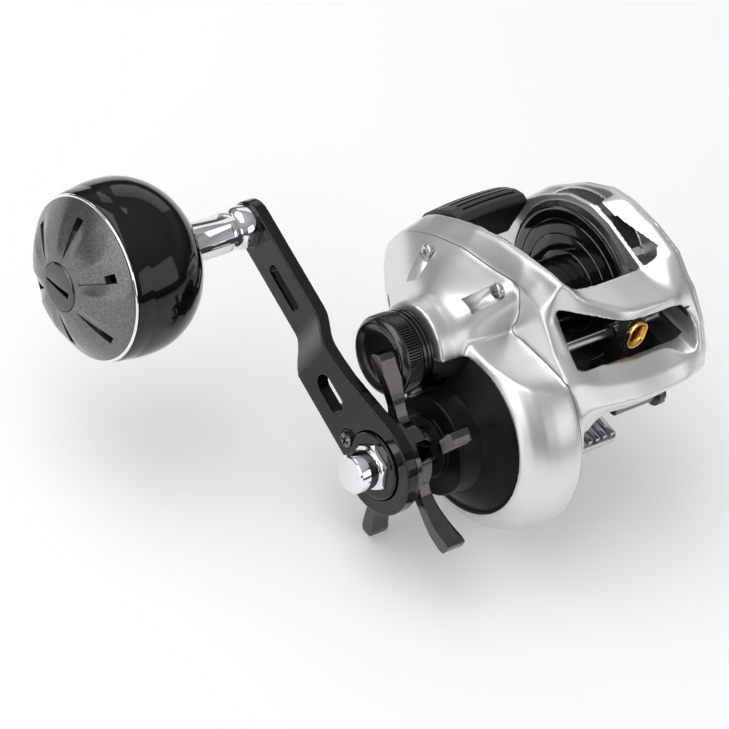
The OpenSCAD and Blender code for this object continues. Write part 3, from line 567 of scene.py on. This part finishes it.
def body_cutters():
    """Everything that is cut out of the body."""
    window = [
        (-15.6, 18.6), (-8, 18.7), (4, 18.6), (16.4, 18.7), (18.4, 16.6), (19.4, 13.4), (19.4, 10.6),
        (18.4, 8.6), (16.4, 7.8), (4, 7.6), (-5.6, 8.0), (-8.6, 8.8), (-11.2, 11.2)
    ]
    behind = [(-17.6, 10), (-17.8, 21), (-17.8, 60), (70, 60), (70, -70), (12, -70), (12, -12), (0, 0)]
    cavity = [
        (-16, 18.3), (-26, 18.2), (-28.6, 17.6), (-31.4, 8), (-32, 5.6), (-36, 3.8), (-38.2, 1.4),
        (-38, 0), (-36.2, -2.2), (-34.2, -4.4), (-35.6, -5.2), (-44, -8.5), (-44, -70), (14, -70),
        (14, 0)
    ]
    front_pocket = [
        (4.2, 25.3), (-3.6, 25.0), (-9.2, 21.9), (-14.4, 17.4), (-16.2, 18.6), (-18.0, 21.8),
        (-18.5, 24.6), (-16, 26.0), (-6, 25.9)
    ]
    rear_pocket = circle(23.9, 0, 0, 16, 2, 84) + [(2.4, 26.6), (8, 40), (40, 30), (40, -3)]
    yield rod("chamber", -13.6, 12.9, CHAMBER_R, steps=128)
    yield rod("chamber_end", -15.5, -13, 18.6, steps=96)
    yield rod("palm_bore", 12.5, 30, CHAMBER_R - 0.1, steps=128)
    yield prism("behind", behind, -13.4, 12.9)
    yield prism("cavity", cavity, -14.4, 13.2)
    yield front_prism("window", window, -60, -15)
    yield prism("front_pocket", front_pocket, 13.9, 19.6)
    yield prism("rear_pocket", rear_pocket, 13.9, 19.6)
    # the gear cover's seat, and the hollow behind it
    yield lathe("cover_seat", [(-50, 0), (-50, 21.1), (-31.6, 21.1), (-31.6, 0)], DRIVE, 128)
    yield lathe("gear_room", [(-31.8, 0), (-31.8, 20.4), (-30.4, 22.1), (-17, 22.1), (-17, 0)], DRIVE, 96)
    yield rod("pinion_room", -31, -15.6, 8.3)
    yield rod("pinion_end", -36, -30.5, 5.4)
    yield rod("end", 21.4, 30, 60, steps=32)


def screw_recess(y, z, x):
    """A round well for the screw, with a side that runs out down the slope like a teardrop."""
    inward = (Vector((3.0, -4.0)) - Vector((y, z))).normalized()
    across = Vector((-inward.y, inward.x))
    rows = []
    for depth, r, run in ((-0.1, 2.25, 0.0), (0.9, 2.45, 0.5), (2.0, 2.6, 1.9), (3.4, 2.6, 3.9),
        (8.0, 2.6, 10.0)):
        ring = []
        for k in range(28):
            a = 2 * math.pi * k / 28
            u, v = r * math.cos(a), r * math.sin(a)
            v *= 1 - 0.25 * max(math.cos(a), 0) * min(run / 4, 1)
            p = Vector((y, z)) + inward * (u + run * max(math.cos(a), 0) ** 0.6) + across * v
            ring.append((p.x, p.y))
        rows.append((x - depth, ring))
    return loft("recess", rows, per=1)


# Screws of the side plate: (y, z) and the x of their seats
SCREWS = [(18.7, 9.5, -22.3), (-6.0, 16.9, -22.0), (25, -13, -20.4), (3, -31, -20.4)]


def saddle():
    """Thin wall under the spool and the block that stands on the foot."""
    wall = lathe("saddle", [(-15.6, CHAMBER_R - 0.05), (-15.6, 24), (13.7, 24), (13.7, CHAMBER_R - 0.05)],
        CENTRE, 128)
    clear = prism("clear", [(-30, -9.5), (-20, -9), (0, 2), (26, -11), (26, 30), (-30, 30)], -17, 15)
    combine(wall, [clear])
    base = plan_prism("base", [(-5, -17), (13, -17), (13, 17), (-5, 17)], -24, -17)
    keep = rod("keep", -6, 14, CHAMBER_R, steps=96)
    return [wall, combine(base, [keep])]


def housing(look):
    body = body_form()
    for tool in body_cutters():
        combine(body, [tool])
    soften(body, 0.36, 2)
    wells = [screw_recess(*q) for q in SCREWS[:2]]
    wells += [rod("well", -36, x, 2.6, axis=(y, z), steps=32) for y, z, x in SCREWS[2:]]
    combine(body, wells)
    outline = SEAM + circle(34, DRIVE[0], DRIVE[1], 24, 146, 292) + [(40, -30), (48, -10)]
    outer = prism("outer", outline, -60, SEAM_X)
    inner = prism("inner", outline, -60, SEAM_X + 0.24)
    plate = body.copy()
    plate.data = body.data.copy()
    bpy.context.scene.collection.objects.link(plate)
    plate.name = "side_plate_shell"
    body.name = "frame_shell"
    combine(plate, [outer], "INTERSECT")
    swell(inner, 0.26)
    combine(body, [inner])
    place(plate, "housing", ["handle_side_plate"], look["silver"], 30)
    place(body, "housing", ["frame"], look["silver"], 30)
    # painted shade: dark material on the inside faces behind the window and in the pockets
    paint_inner_shade(body, look["inner"])
    for part in saddle():
        place(edges(part, 0.2), "housing", [], look["silver"])


def paint_inner_shade(obj, look):
    """Painted shade: faces inside the line guide's room behind the window, and inside the pockets, get a
    near-black material that stands in for the shade in these hollows.
    """
    obj.data.materials.append(look)
    for face in obj.data.polygons:
        x, y, z = face.center / MM - SPOOL
        r = math.hypot(y, z)
        room = -9.0 < x < 19.0 and -31.6 < y < -16 and -8 < z < 18.2 and r > 23.2
        pocket = 14.0 < x < 19.4 and 23.2 < r < (26.0 if y < 3 else 25.0) and z > 2
        if room or pocket:
            face.material_index = 1


def swell(obj, by):
    """Moves an outline's sides out by a small gap."""
    bm = bmesh.new()
    bm.from_mesh(obj.data)
    bm.normal_update()
    for v in bm.verts:
        n = Vector((0, v.normal.y, v.normal.z))
        if n.length > 1e-6:
            v.co += n.normalized() * by * MM
    bm.to_mesh(obj.data)
    bm.free()


def palm_cover(look):
    outer = STATIONS[-1][1]
    rows = [(21.5, outer)]
    for x, k in ((22.6, 0.985), (24.0, 0.93), (24.9, 0.8), (25.3, 0.55)):
        rows.append((x, [(y * k - 1.0 * (1 - k), z * k) for y, z in outer]))
    cover = soften(loft("palm_cover_shell", rows, per=4), 0.4, 4)
    combine(cover, [rod("socket", 22.4, 30, 3.6, RELEASE, 48)])
    place(cover, "palm_cover", ["palm_plate"], look["silver"], 30)
    head = lathe("release_head", [(22.5, 0), (22.5, 3.2), (24.5, 3.2), (24.9, 2.9), (25, 0)], RELEASE, 48)
    slot = prism("slot", [(-31, -17.5), (-31, -16.5), (-23, -16.5), (-23, -17.5)], 24.2, 26)
    combine(head, [slot])
    stem = lathe("release_stem", [(9, 0), (9, 1.5), (9.3, 1.8), (22.5, 1.8), (22.5, 0)], RELEASE, 48)
    place(edges(head, 0.1), "release_screw", ["palm_release_screw"], look["dark_steel"])
    place(stem, "release_screw", [], look["dark_steel"])


def side_screws(look):
    for k, (y, z, x) in enumerate(SCREWS):
        line = [(x + 0.1, 0), (x + 0.1, 2.0), (x - 1.0, 2.0), (x - 1.4, 1.6), (x - 1.5, 0)]
        head = lathe("side_screw_%d" % (k + 1), line, (y, z), 48)
        socket = []
        for i in range(12):
            r, a = 0.62 if i % 2 else 1.15, math.radians(30 * i + 10)
            socket.append((y + r * math.cos(a), z + r * math.sin(a)))
        combine(head, [prism("socket", socket, x - 3, x - 0.7)])
        place(edges(head, 0.06, 1), "housing", ["side_plate_screws"] if k == 0 else [], look["steel"])


def gear_cover(look):
    cover = lathe("gear_cover_shell", [
        (-45.5, 5.3), (-45.6, 5.5), (-45.6, 7.7), (-45.4, 8.0), (-44.6, 8.05), (-44.3, 8.3), (-44.2, 12.4),
        (-44.0, 12.8),
        (-43.6, 13.0), (-38.9, 13.2), (-38.2, 13.5), (-37.5, 14.6), (-33.0, 20.0), (-32.5, 20.5),
        (-32.3, 20.55),
        (-32.2, 20.9), (-31.7, 20.9), (-31.7, 14.2), (-34.9, 14.2), (-34.9, 8.02), (-43.7, 8.02), (-43.7, 5.3)
    ], DRIVE, 160)
    combine(cover, [rod("bite", -50, -32.8, 11.62, steps=96), rod("inner_bite", -34, -30, 3.7)])
    place(cover, "housing", ["gear_cover"], look["cover"], 22)


# ---------------------------------------------------------------- handle

def star(look):
    """Five-armed star: slim arms, thickest along the axis at the tips, which stand out from the hub."""
    back, thick = -50.45, 3.5
    parts = [rod("hub", -54, -50.4, 9.4, DRIVE, 64)]
    for k in range(5):
        a = math.radians(56 + 72 * k)
        up, down = [], []
        for i in range(15):
            t = i / 14
            r = 6 + 20.3 * t
            half = 1.35 + 3.4 * max(1 - t * 2.6, 0) ** 2 + 0.75 * t ** 3
            mid = 1.5 * math.sin(math.pi * t) * (1 - 0.3 * t)
            round_tip = 0.75 if i == 14 else 1.0
            up.append((r, mid + half * round_tip))
            down.append((r, mid - half * round_tip))
        line = up + [(26.5, 0.0)] + down[::-1]
        c, q = math.cos(a), math.sin(a)
        turned = [(DRIVE[0] + u * c - v * q, DRIVE[1] + u * q + v * c) for u, v in line]
        parts.append(prism("blade", turned, back - thick, back))
    body = soften(merge("star_wheel", parts), 0.15, 4)
    for v in body.data.vertices:
        p = v.co / MM - SPOOL
        t = max(math.hypot(p.y - DRIVE[0], p.z - DRIVE[1]) - 12, 0) / 14.5
        front = (back - p.x) / thick
        v.co.x -= (1.5 * front * min(t * 1.6, 1) - 0.6 * (1 - front) * t * t) * MM
    combine(body, [rod("bore", -57, -46, 3.06, DRIVE, 48)])
    place(body, "star", ["star_drag"], look["star"], 30)


def on_arm(u, v):
    """Point u along the arm and v across it, as (y, z)."""
    c, s = math.cos(ARM_ANGLE), math.sin(ARM_ANGLE)
    return (DRIVE[0] + u * c - v * s, DRIVE[1] + u * s + v * c)


# Outer faces of the arm at the nut and at the knob, and the retainer screw's place on the arm
ARM_LOW = -60.9
ARM_HIGH = -57.4
LOBE = (9.6, -3.6)


def arm_section(u, left, right, out, thick=3.4):
    corners = ((out, left), (out, right), (out + thick, right), (out + thick, left))
    return [(x, *on_arm(u, v)) for x, v in corners]


def arm(look):
    low, high = ARM_LOW, ARM_HIGH
    wide = [(8, 11.2), (14, 9.6), (20.6, 7.8), (26, 7.1), (30, 6.9)]
    narrow = [(31, -9.0), (20, -9.05), (8, -9.1)]
    lower = [on_arm(*q) for q in wide + narrow + circle(12.8, 0, 0, 26, -58, -290)]
    upper = [on_arm(*q) for q in [(40, 6), (39, -6)] + circle(6, ARM_LENGTH, 0, 20, -90, 90)]
    parts = [prism("nut_end", lower, low, low + 3.4), prism("knob_end", upper, high, high + 3.4)]
    steps = []
    for i in range(9):
        t = i / 8
        ease = t * t * (3 - 2 * t)
        steps.append(arm_section(29.9 + 10.3 * t, -9.0 + 3.0 * ease, 6.9 - 0.9 * ease,
            low + (high - low) * ease))
    parts.append(strip("step", steps))
    parts.append(rod("knob_boss", -58.2, high + 0.4, 5.6, KNOB, 48))
    body = soften(merge("power_arm", parts), 0.2, 4)
    slots = []
    for u0, u1, v, r, a, b in ((45.2, 55.3, -0.4, 1.7, -60, -50), (18.3, 23.7, -1.1, 2.8, -63, -55)):
        line = [on_arm(*q) for q in circle(r, u0, v, 12, 90, 270) + circle(r, u1, v, 12, -90, 90)]
        slots.append(prism("slot", line, a, b))
    slots.append(rod("bowl", low - 2, low + 1.2, 8.9, DRIVE, 64))
    slots.append(rod("lobe", low - 2, low + 1.2, 2.7, on_arm(*LOBE), 32))
    slots.append(rod("bore", low - 2, low + 6, 3.03, DRIVE, 48))
    combine(body, slots)
    soften(body, 0.17, 2)
    place(body, "handle", ["handle_arm"], look["arm"], 30)


def nut_and_retainer(look):
    seat = ARM_LOW + 1.2
    lobe = on_arm(*LOBE)
    ring = lathe("retainer_ring", [
        (seat - 0.05, 0), (seat - 0.05, 8.6), (-61.3, 8.6), (-61.6, 8.2), (-61.6, 0)
    ], DRIVE, 64)
    ear = rod("ear", seat - 1.2, seat - 0.05, 2.5, lobe, 32)
    retainer = soften(merge("retainer", [ring, ear]), 0.14, 2)
    hexagon = [on_arm(*q) for q in circle(6.55, 0, 0, 6)]
    combine(retainer, [prism("hex", hexagon, -64, -58), rod("well", -64, -60.6, 2.1, lobe, 32)])
    place(retainer, "handle", ["nut_retainer"], look["arm"], 30)

    flats = [on_arm(*q) for q in circle(6.35, 0, 0, 6)]
    base = prism("base", flats, -62.9, seat - 0.05)
    chamfer = lathe("chamfer", [(-63.2, 5.0), (-63.2, 8), (-61.4, 8), (-61.4, 6.5), (-62.5, 5.9)], DRIVE, 64)
    combine(base, [chamfer])
    cap = lathe("cap", [
        (-62.7, 0), (-62.7, 4.8), (-63.2, 5.0), (-67.9, 5.0), (-68.3, 4.85), (-68.6, 4.5),
        (-68.7, 3.8), (-68.75, 0)
    ], DRIVE, 72)
    place(edges(base, 0.18), "handle", ["handle_nut"], look["chrome"])
    place(cap, "handle", [], look["chrome"], 25)

    screw = lathe("retainer_screw_head", [
        (-61.0, 0), (-61.0, 1.9), (-61.9, 1.85), (-62.2, 1.5), (-62.3, 0)
    ], lobe, 32)
    y, z = lobe
    for a, b in ((1.2, 0.25), (0.25, 1.2)):
        bar = [(y - a, z - b), (y + a, z - b), (y + a, z + b), (y - a, z + b)]
        combine(screw, [prism("cross", bar, -63, -61.7)])
    place(screw, "handle", ["retainer_screw"], look["dark_steel"])

    collar = lathe("spacer_disc", [
        (-57.4, 3.05), (-57.4, 11.4), (-57.1, 11.8), (-55.6, 11.8), (-55.2, 11.4), (-55.2, 6.4),
        (-54.3, 6.4), (-54.3, 3.05)
    ], DRIVE, 96)
    place(collar, "handle", ["spacer_collar"], look["star"], 25)


def post(look):
    body = lathe("chrome_post", [
        (-57.2, 0), (-57.2, 4.6), (-57.5, 5.1), (-58.4, 5.4), (-61.0, 5.45), (-61.6, 5.25),
        (-62.2, 4.8), (-62.8, 4.65), (-63.4, 4.75), (-63.9, 4.98), (-78.2, 4.98), (-78.8, 4.6),
        (-79.2, 4.0), (-79.2, 2.4), (-105.4, 2.4), (-105.4, 0)
    ], KNOB, 96)
    tools = []
    for k in range(6):
        line = [(KNOB[0] + 4.66, KNOB[1] - 1.7), (KNOB[0] + 6, KNOB[1] - 1.7), (KNOB[0] + 6, KNOB[1] + 1.7),
            (KNOB[0] + 4.66, KNOB[1] + 1.7)]
        tools.append(turn_about_x(prism("flat", line, -77.0, -65.2), KNOB, 60 * k + 12))
    combine(body, tools)
    place(edges(body, 0.12), "handle", ["knob_post"], look["chrome"], 32)


def knob(look):
    ball = lathe("knob_ball", [
        (-79.3, 3.2), (-79.3, 5.6), (-79.5, 7.6), (-80.0, 9.8), (-81.1, 12.6), (-82.7, 15.4),
        (-84.9, 17.9), (-87.6, 19.9), (-90.4, 21.2), (-93.5, 22.0), (-96.5, 22.15), (-99, 22.05),
        (-101.4, 21.75), (-101.9, 21.6), (-102.2, 21.62), (-104.6, 21.3), (-105.5, 21.1),
        (-105.9, 20.9), (-106.0, 20.6), (-106.0, 18.4), (-99, 18.2), (-90, 16.5), (-86, 13.5),
        (-86, 3.2)
    ], KNOB, 160)
    place(ball, "knob", ["knob_body"], look["knob"], 32)
    ring = lathe("knob_trim_ring", [
        (-106.05, 18.6), (-106.05, 20.6), (-106.1, 20.85), (-106.3, 20.98), (-106.55, 20.95),
        (-106.75, 20.75), (-106.75, 19.6), (-106.6, 18.6)
    ], KNOB, 160)
    place(ring, "knob", ["knob_ring"], look["chrome"], 30)

    steps, rows = 216, 30
    r_in, r_out = 6.25, 20.3
    points, faces = [], []
    for i in range(rows + 1):
        t = i / rows
        r = r_in + (r_out - r_in) * t
        dome = -114.2 + 7.3 * (max(r - 3, 0) / 17.3) ** 2.3
        for k in range(steps):
            a = 2 * math.pi * k / steps
            valley = math.cos(6 * (a - math.radians(18)))
            scoop = 0.9 * max(valley, -0.15) * math.sin(math.pi * min(max((t - 0.02) / 0.96, 0), 1)) ** 1.2
            points.append((dome + scoop, KNOB[0] + r * math.cos(a), KNOB[1] + r * math.sin(a)))
    for r, x in ((20.3, -106.8), (18.6, -106.6), (17.4, -106.2), (12, -109.4), (6.25, -110.9)):
        for k in range(steps):
            a = 2 * math.pi * k / steps
            points.append((x, KNOB[0] + r * math.cos(a), KNOB[1] + r * math.sin(a)))
    total = rows + 6
    for i in range(total):
        j = (i + 1) % total
        for k in range(steps):
            n = (k + 1) % steps
            faces.append((i * steps + k, i * steps + n, j * steps + n, j * steps + k))
    cap = make("knob_dome", points, faces)
    slots = []
    y, z = KNOB
    rows = ((7.8, 0.12, -113.1), (14.0, 0.95, -109.9))
    for k in range(6):
        points = [(x, y + r, z + side * w) for r, w, floor in rows for x, side in ((floor, -1), (floor, 1),
            (-116, 1), (-116, -1))]
        sides = [(i, (i + 1) % 4, 4 + (i + 1) % 4, 4 + i) for i in range(4)]
        slots.append(turn_about_x(make("groove", points, sides + [(0, 1, 2, 3), (4, 5, 6, 7)]), KNOB,
            18 + 60 * k))
        vent = [(y + 13.9, z - 0.95), (y + 17.3, z - 1.2), (y + 17.4, z + 1.2), (y + 13.9, z + 0.95)]
        slots.append(turn_about_x(prism("vent", vent, -115.5, -104), KNOB, 18 + 60 * k))
    combine(cap, slots)
    place(cap, "knob", ["knob_cap"], look["knob_cap"], 30)

    plug = lathe("knob_centre", [
        (-106, 0), (-106, 3.4), (-111.6, 3.4), (-111.6, 6.0), (-114.1, 6.05), (-114.4, 5.8),
        (-114.55, 5.0), (-114.7, 0)
    ], KNOB, 72)
    y, z = KNOB
    slit = prism("slit", [(y - 4.3, z - 0.8), (y + 4.5, z - 0.25), (y + 4.5, z + 0.25), (y - 4.3, z + 0.8)],
        -116, -113.2)
    combine(plug, [turn_about_x(slit, KNOB, -8)])
    place(edges(plug, 0.08), "knob", ["knob_screw_cap"], look["star"], 30)


def cast_cap(look):
    def knurl(x, r, k):
        return -0.32 * (k % 3 == 0) if -48.75 < x < -44.75 and r > 9.8 else 0.0
    rows = [
        (-49.3, 0), (-49.3, 5.6), (-49.35, 6.4), (-49.7, 7.4), (-50.2, 8.2), (-50.4, 8.6),
        (-50.35, 9.0), (-50.0, 9.5), (-49.4, 9.9), (-48.9, 10.05), (-48.8, 10.05), (-48.7, 10.3),
        (-48.0, 10.35), (-46.8, 10.35), (-45.6, 10.35), (-44.85, 10.3), (-44.7, 9.9), (-44.6, 9.6),
        (-44.3, 9.6), (-44.1, 9.95), (-43.5, 10.0), (-43.3, 9.65), (-43.05, 9.65), (-42.85, 10.05),
        (-42.3, 10.1), (-42.15, 9.8), (-42.0, 9.8), (-41.9, 10.1), (-41.5, 10.1), (-41.4, 8.1),
        (-47.3, 8.1), (-47.35, 0)
    ]
    cap = lathe("cast_knob", rows, CENTRE, 270, knurl)
    place(cap, "cap", ["cast_cap"], look["cap"], 24)


# ---------------------------------------------------------------- spool, guide, thumb bar, foot

def spool(look):
    flange = [
        (10.2, 9.4), (10.3, 10.6), (10.5, 10.8), (10.45, 11.0), (10.8, 14.6), (11.0, 14.8),
        (10.95, 15.0), (11.4, 18.2), (11.6, 18.4), (11.5, 18.6), (11.75, 20.6), (12.0, 20.75),
        (12.65, 20.8), (12.7, 20.2), (12.25, 19.4), (11.4, 8.8), (3, 8.6), (3, 4.1), (12.6, 4),
        (12.7, 1.55)
    ]
    left = [(-x, r) for x, r in flange]
    body = lathe("spool_drum", flange[::-1] + left, CENTRE, 160)
    place(body, "spool_group", ["spool"], look["spool"], 25)
    for side in (-1, 1):
        band = [(11.85, 20.7), (11.8, 21.1), (11.95, 21.4), (12.2, 21.5), (12.55, 21.5), (12.7, 21.3),
            (12.7, 20.75)]
        ring = lathe("spool_rim_%s" % ("left" if side < 0 else "right"), [(side * x, r) for x, r in band],
            CENTRE, 160)
        place(ring, "spool_group", [], look["rim"], 30)


def line_guide(look):
    """Gold-coloured oval eye: a tube swept round the oval, flared to the front."""
    def oval(r, count=48):
        pts = []
        for k in range(count):
            a = 2 * math.pi * k / count
            rise = 1.2 if math.sin(a) >= 0 else -1.2
            pts.append((GUIDE_X + r * math.cos(a), GUIDE_Z + r * math.sin(a) + rise))
        return pts
    rows = []
    for y, r in ((-26.3, 1.75), (-28.6, 1.72), (-29.8, 1.85), (-30.5, 2.1), (-30.95, 2.45), (-31.0, 2.75),
        (-30.7, 2.9), (-29.9, 2.9), (-29.5, 2.8), (-29.45, 2.2), (-26.3, 2.2)):
        rows.append([(x, y, z) for x, z in oval(r)])
    n = len(rows[0])
    points = [p for row in rows for p in row]
    faces = []
    for i in range(len(rows)):
        j = (i + 1) % len(rows)
        faces += [(i * n + k, i * n + (k + 1) % n, j * n + (k + 1) % n, j * n + k) for k in range(n)]
    place(make("line_eye", points, faces), "line_guide", ["guide_ring"], look["gold"], 40)


def thumb_bar(look):
    """Bowed bar with four long grooves."""
    end = 11.8

    def bow(x):
        return 0.9 * (1 - (x / end) ** 2) - 0.5

    base = [(20.5, 13.0), (21.0, 13.9), (22.6, 14.5), (25.6, 13.7), (28.6, 11.9), (31.0, 9.9), (33.4, 6.6),
        (33.7, 5.4), (33.1, 2.7), (28, 0.5), (23.5, 0.7), (22.8, 4)]
    sections = []
    for i in range(9):
        x = -end + 22.2 * i / 8
        lift = bow(x)
        sections.append((x, [(y, z + (lift if z > 5 else 0)) for y, z in base]))
    bar = soften(loft("thumb_bar_shell", sections, per=2), 0.3, 5)
    tools = []
    for k in range(4):
        y, z = 24.0 + 2.15 * k, 14.3 - 1.3 * k - 0.12 * k * k
        row = []
        for x in (-8.6, -4.3, 0, 4.3, 8.6):
            lift = bow(x)
            row.append([(x, y - 0.4, z + lift - 0.55), (x, y + 0.4, z + lift - 0.8),
                (x, y + 1.1, z + lift + 2), (x, y - 0.1, z + lift + 2.2)])
        tools.append(strip("groove", row))
    combine(bar, tools)
    place(bar, "clutch_bar", ["thumb_bar"], look["thumb"], 30)


def foot(look):
    low = -26.5
    line = []
    for cx, cy, r, a in ((9.4, 26.4, 2.6, 0), (-1.4, 26.4, 2.6, 90), (-1.4, -27.4, 2.6, 180),
        (9.4, -27.4, 2.6, 270)):
        line += [(cx + r * math.cos(math.radians(a + 15 * k)), cy + r * math.sin(math.radians(a + 15 * k)))
            for k in range(7)]
        if a in (90, 270):
            side = -5.0 if a == 90 else 13.0
            line += [(side, y if a == 90 else -y) for y in (15, -15)]
    parts = [edges(plan_prism("foot_plate", line, low, low + 1.8), 0.4, 3)]
    for k in range(6):
        x = -2.1 + 2.45 * k
        rib = [(x - 0.75, -29.0), (x + 0.75, -29.0), (x + 0.75, 27.4), (x - 0.75, 27.4)]
        parts.append(edges(plan_prism("rib", rib, low + 1.6, low + 2.5), 0.3, 2))
    body = merge("ribbed_foot", parts)
    place(body, "housing", ["reel_foot"], look["foot"], 30)


# ---------------------------------------------------------------- CAD pieces that stay, scene

KEPT = {
    "steel": [
        "star_nut", "foot_screws", "pawl_cap", "guide_rod", "spool_shaft", "spool_pin", "drive_shaft",
        "clutch_sleeve", "worm_shaft", "ratchet", "palm_bearing", "worm_bearings",
        "drive_shaft_bearing", "roller_clutch_bearing", "pinion_bearing", "pinion_outer_bearing",
        "spool_shaft_bearing", "knob_bearings", "yoke_springs", "spring_washers"
    ],
    "alloy": ["brake_race", "clutch_yoke", "clutch_link"],
    "brass": ["drive_gear", "pinion", "pawl"],
    "acetal": [
        "clutch_cam", "worm_gear", "idle_gear", "brake_hub", "brake_weight_1", "brake_weight_2",
        "brake_weight_3", "brake_weight_4"
    ],
    "carrier": ["guide_carrier", "worm_guard", "cast_washer"],
    "fibre": ["drag_washers"],
}


def dress_kept(look):
    for name, members in KEPT.items():
        for node in members:
            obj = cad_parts[node]
            obj.data.materials.clear()
            obj.data.materials.append(look[name])


def stage_and_lights():
    low = cad_box[0][2] - 0.0002
    size = 2.5
    mesh = bpy.data.meshes.new("floor")
    mesh.from_pydata([(-size, -size, low), (size, -size, low), (size, size, low), (-size, size, low)], [],
        [(0, 1, 2, 3)])
    floor = linked("floor", mesh)
    pale = bpy.data.materials.new("pale_floor")
    pale.use_nodes = True
    shader = pale.node_tree.nodes["Principled BSDF"]
    shader.inputs["Base Color"].default_value = (0.92, 0.92, 0.92, 1)
    shader.inputs["Roughness"].default_value = 0.9
    shader.inputs["Emission Color"].default_value = (1, 1, 1, 1)
    shader.inputs["Emission Strength"].default_value = 0.16
    mesh.materials.append(pale)

    world = bpy.data.worlds.new("studio")
    bpy.context.scene.world = world
    world.use_nodes = True
    nodes, links = world.node_tree.nodes, world.node_tree.links
    back = nodes["Background"]
    back.inputs["Strength"].default_value = 0.55
    sky = nodes.new("ShaderNodeTexCoord")
    split = nodes.new("ShaderNodeSeparateXYZ")
    ramp = nodes.new("ShaderNodeValToRGB")
    links.new(sky.outputs["Generated"], split.inputs["Vector"])
    links.new(split.outputs["Z"], ramp.inputs["Fac"])
    links.new(ramp.outputs["Color"], back.inputs["Color"])
    stops = ramp.color_ramp.elements
    stops[0].position, stops[0].color = 0.0, (0.10, 0.10, 0.105, 1)
    stops[1].position, stops[1].color = 1.0, (0.95, 0.97, 1.0, 1)
    for at, level in ((0.18, 0.22), (0.42, 0.62), (0.62, 0.55)):
        stops.new(at).color = (level, level, level * 1.02, 1)

    def softbox(name, where, size_x, size_y, watts, at=(0.0, 0.0, 0.025)):
        lamp = bpy.data.lights.new(name, "AREA")
        lamp.shape = "RECTANGLE"
        lamp.size, lamp.size_y = size_x, size_y
        lamp.energy = watts
        obj = linked(name, lamp)
        obj.location = where
        obj.rotation_euler = (Vector(at) - Vector(where)).to_track_quat("-Z", "Y").to_euler()

    softbox("key", (-0.45, 0.35, 0.95), 1.3, 1.0, 7.5)
    softbox("left", (-1.0, -0.2, 0.35), 0.6, 0.9, 2.6)
    softbox("front", (0.35, -1.0, 0.5), 0.9, 0.6, 1.8)
    softbox("back", (0.8, 0.8, 0.6), 1.0, 0.6, 1.2)


def camera():
    back = Vector((-0.56973972, -0.50145149, 0.65110909))
    right = Vector((0.77251312, -0.59708746, 0.21612509))
    up = Vector((0.28039283, 0.62612536, 0.7275623))
    data = bpy.data.cameras.new("camera")
    data.lens = 198.35
    data.sensor_width = 36.0
    data.clip_start = 0.01
    obj = linked("camera", data)
    turn = Matrix((right, up, back)).transposed().to_4x4()
    obj.matrix_world = Matrix.Translation((-0.610866, -0.484910, 0.657092)) @ turn
    bpy.context.scene.camera = obj


look = looks()
dress_kept(look)
for build in (
    housing, palm_cover, side_screws, gear_cover, star, arm, nut_and_retainer, post, knob, cast_cap,
    spool, line_guide, thumb_bar, foot
):
    build(look)
stage_and_lights()
camera()
bpy.context.scene.view_settings.view_transform = "Standard"
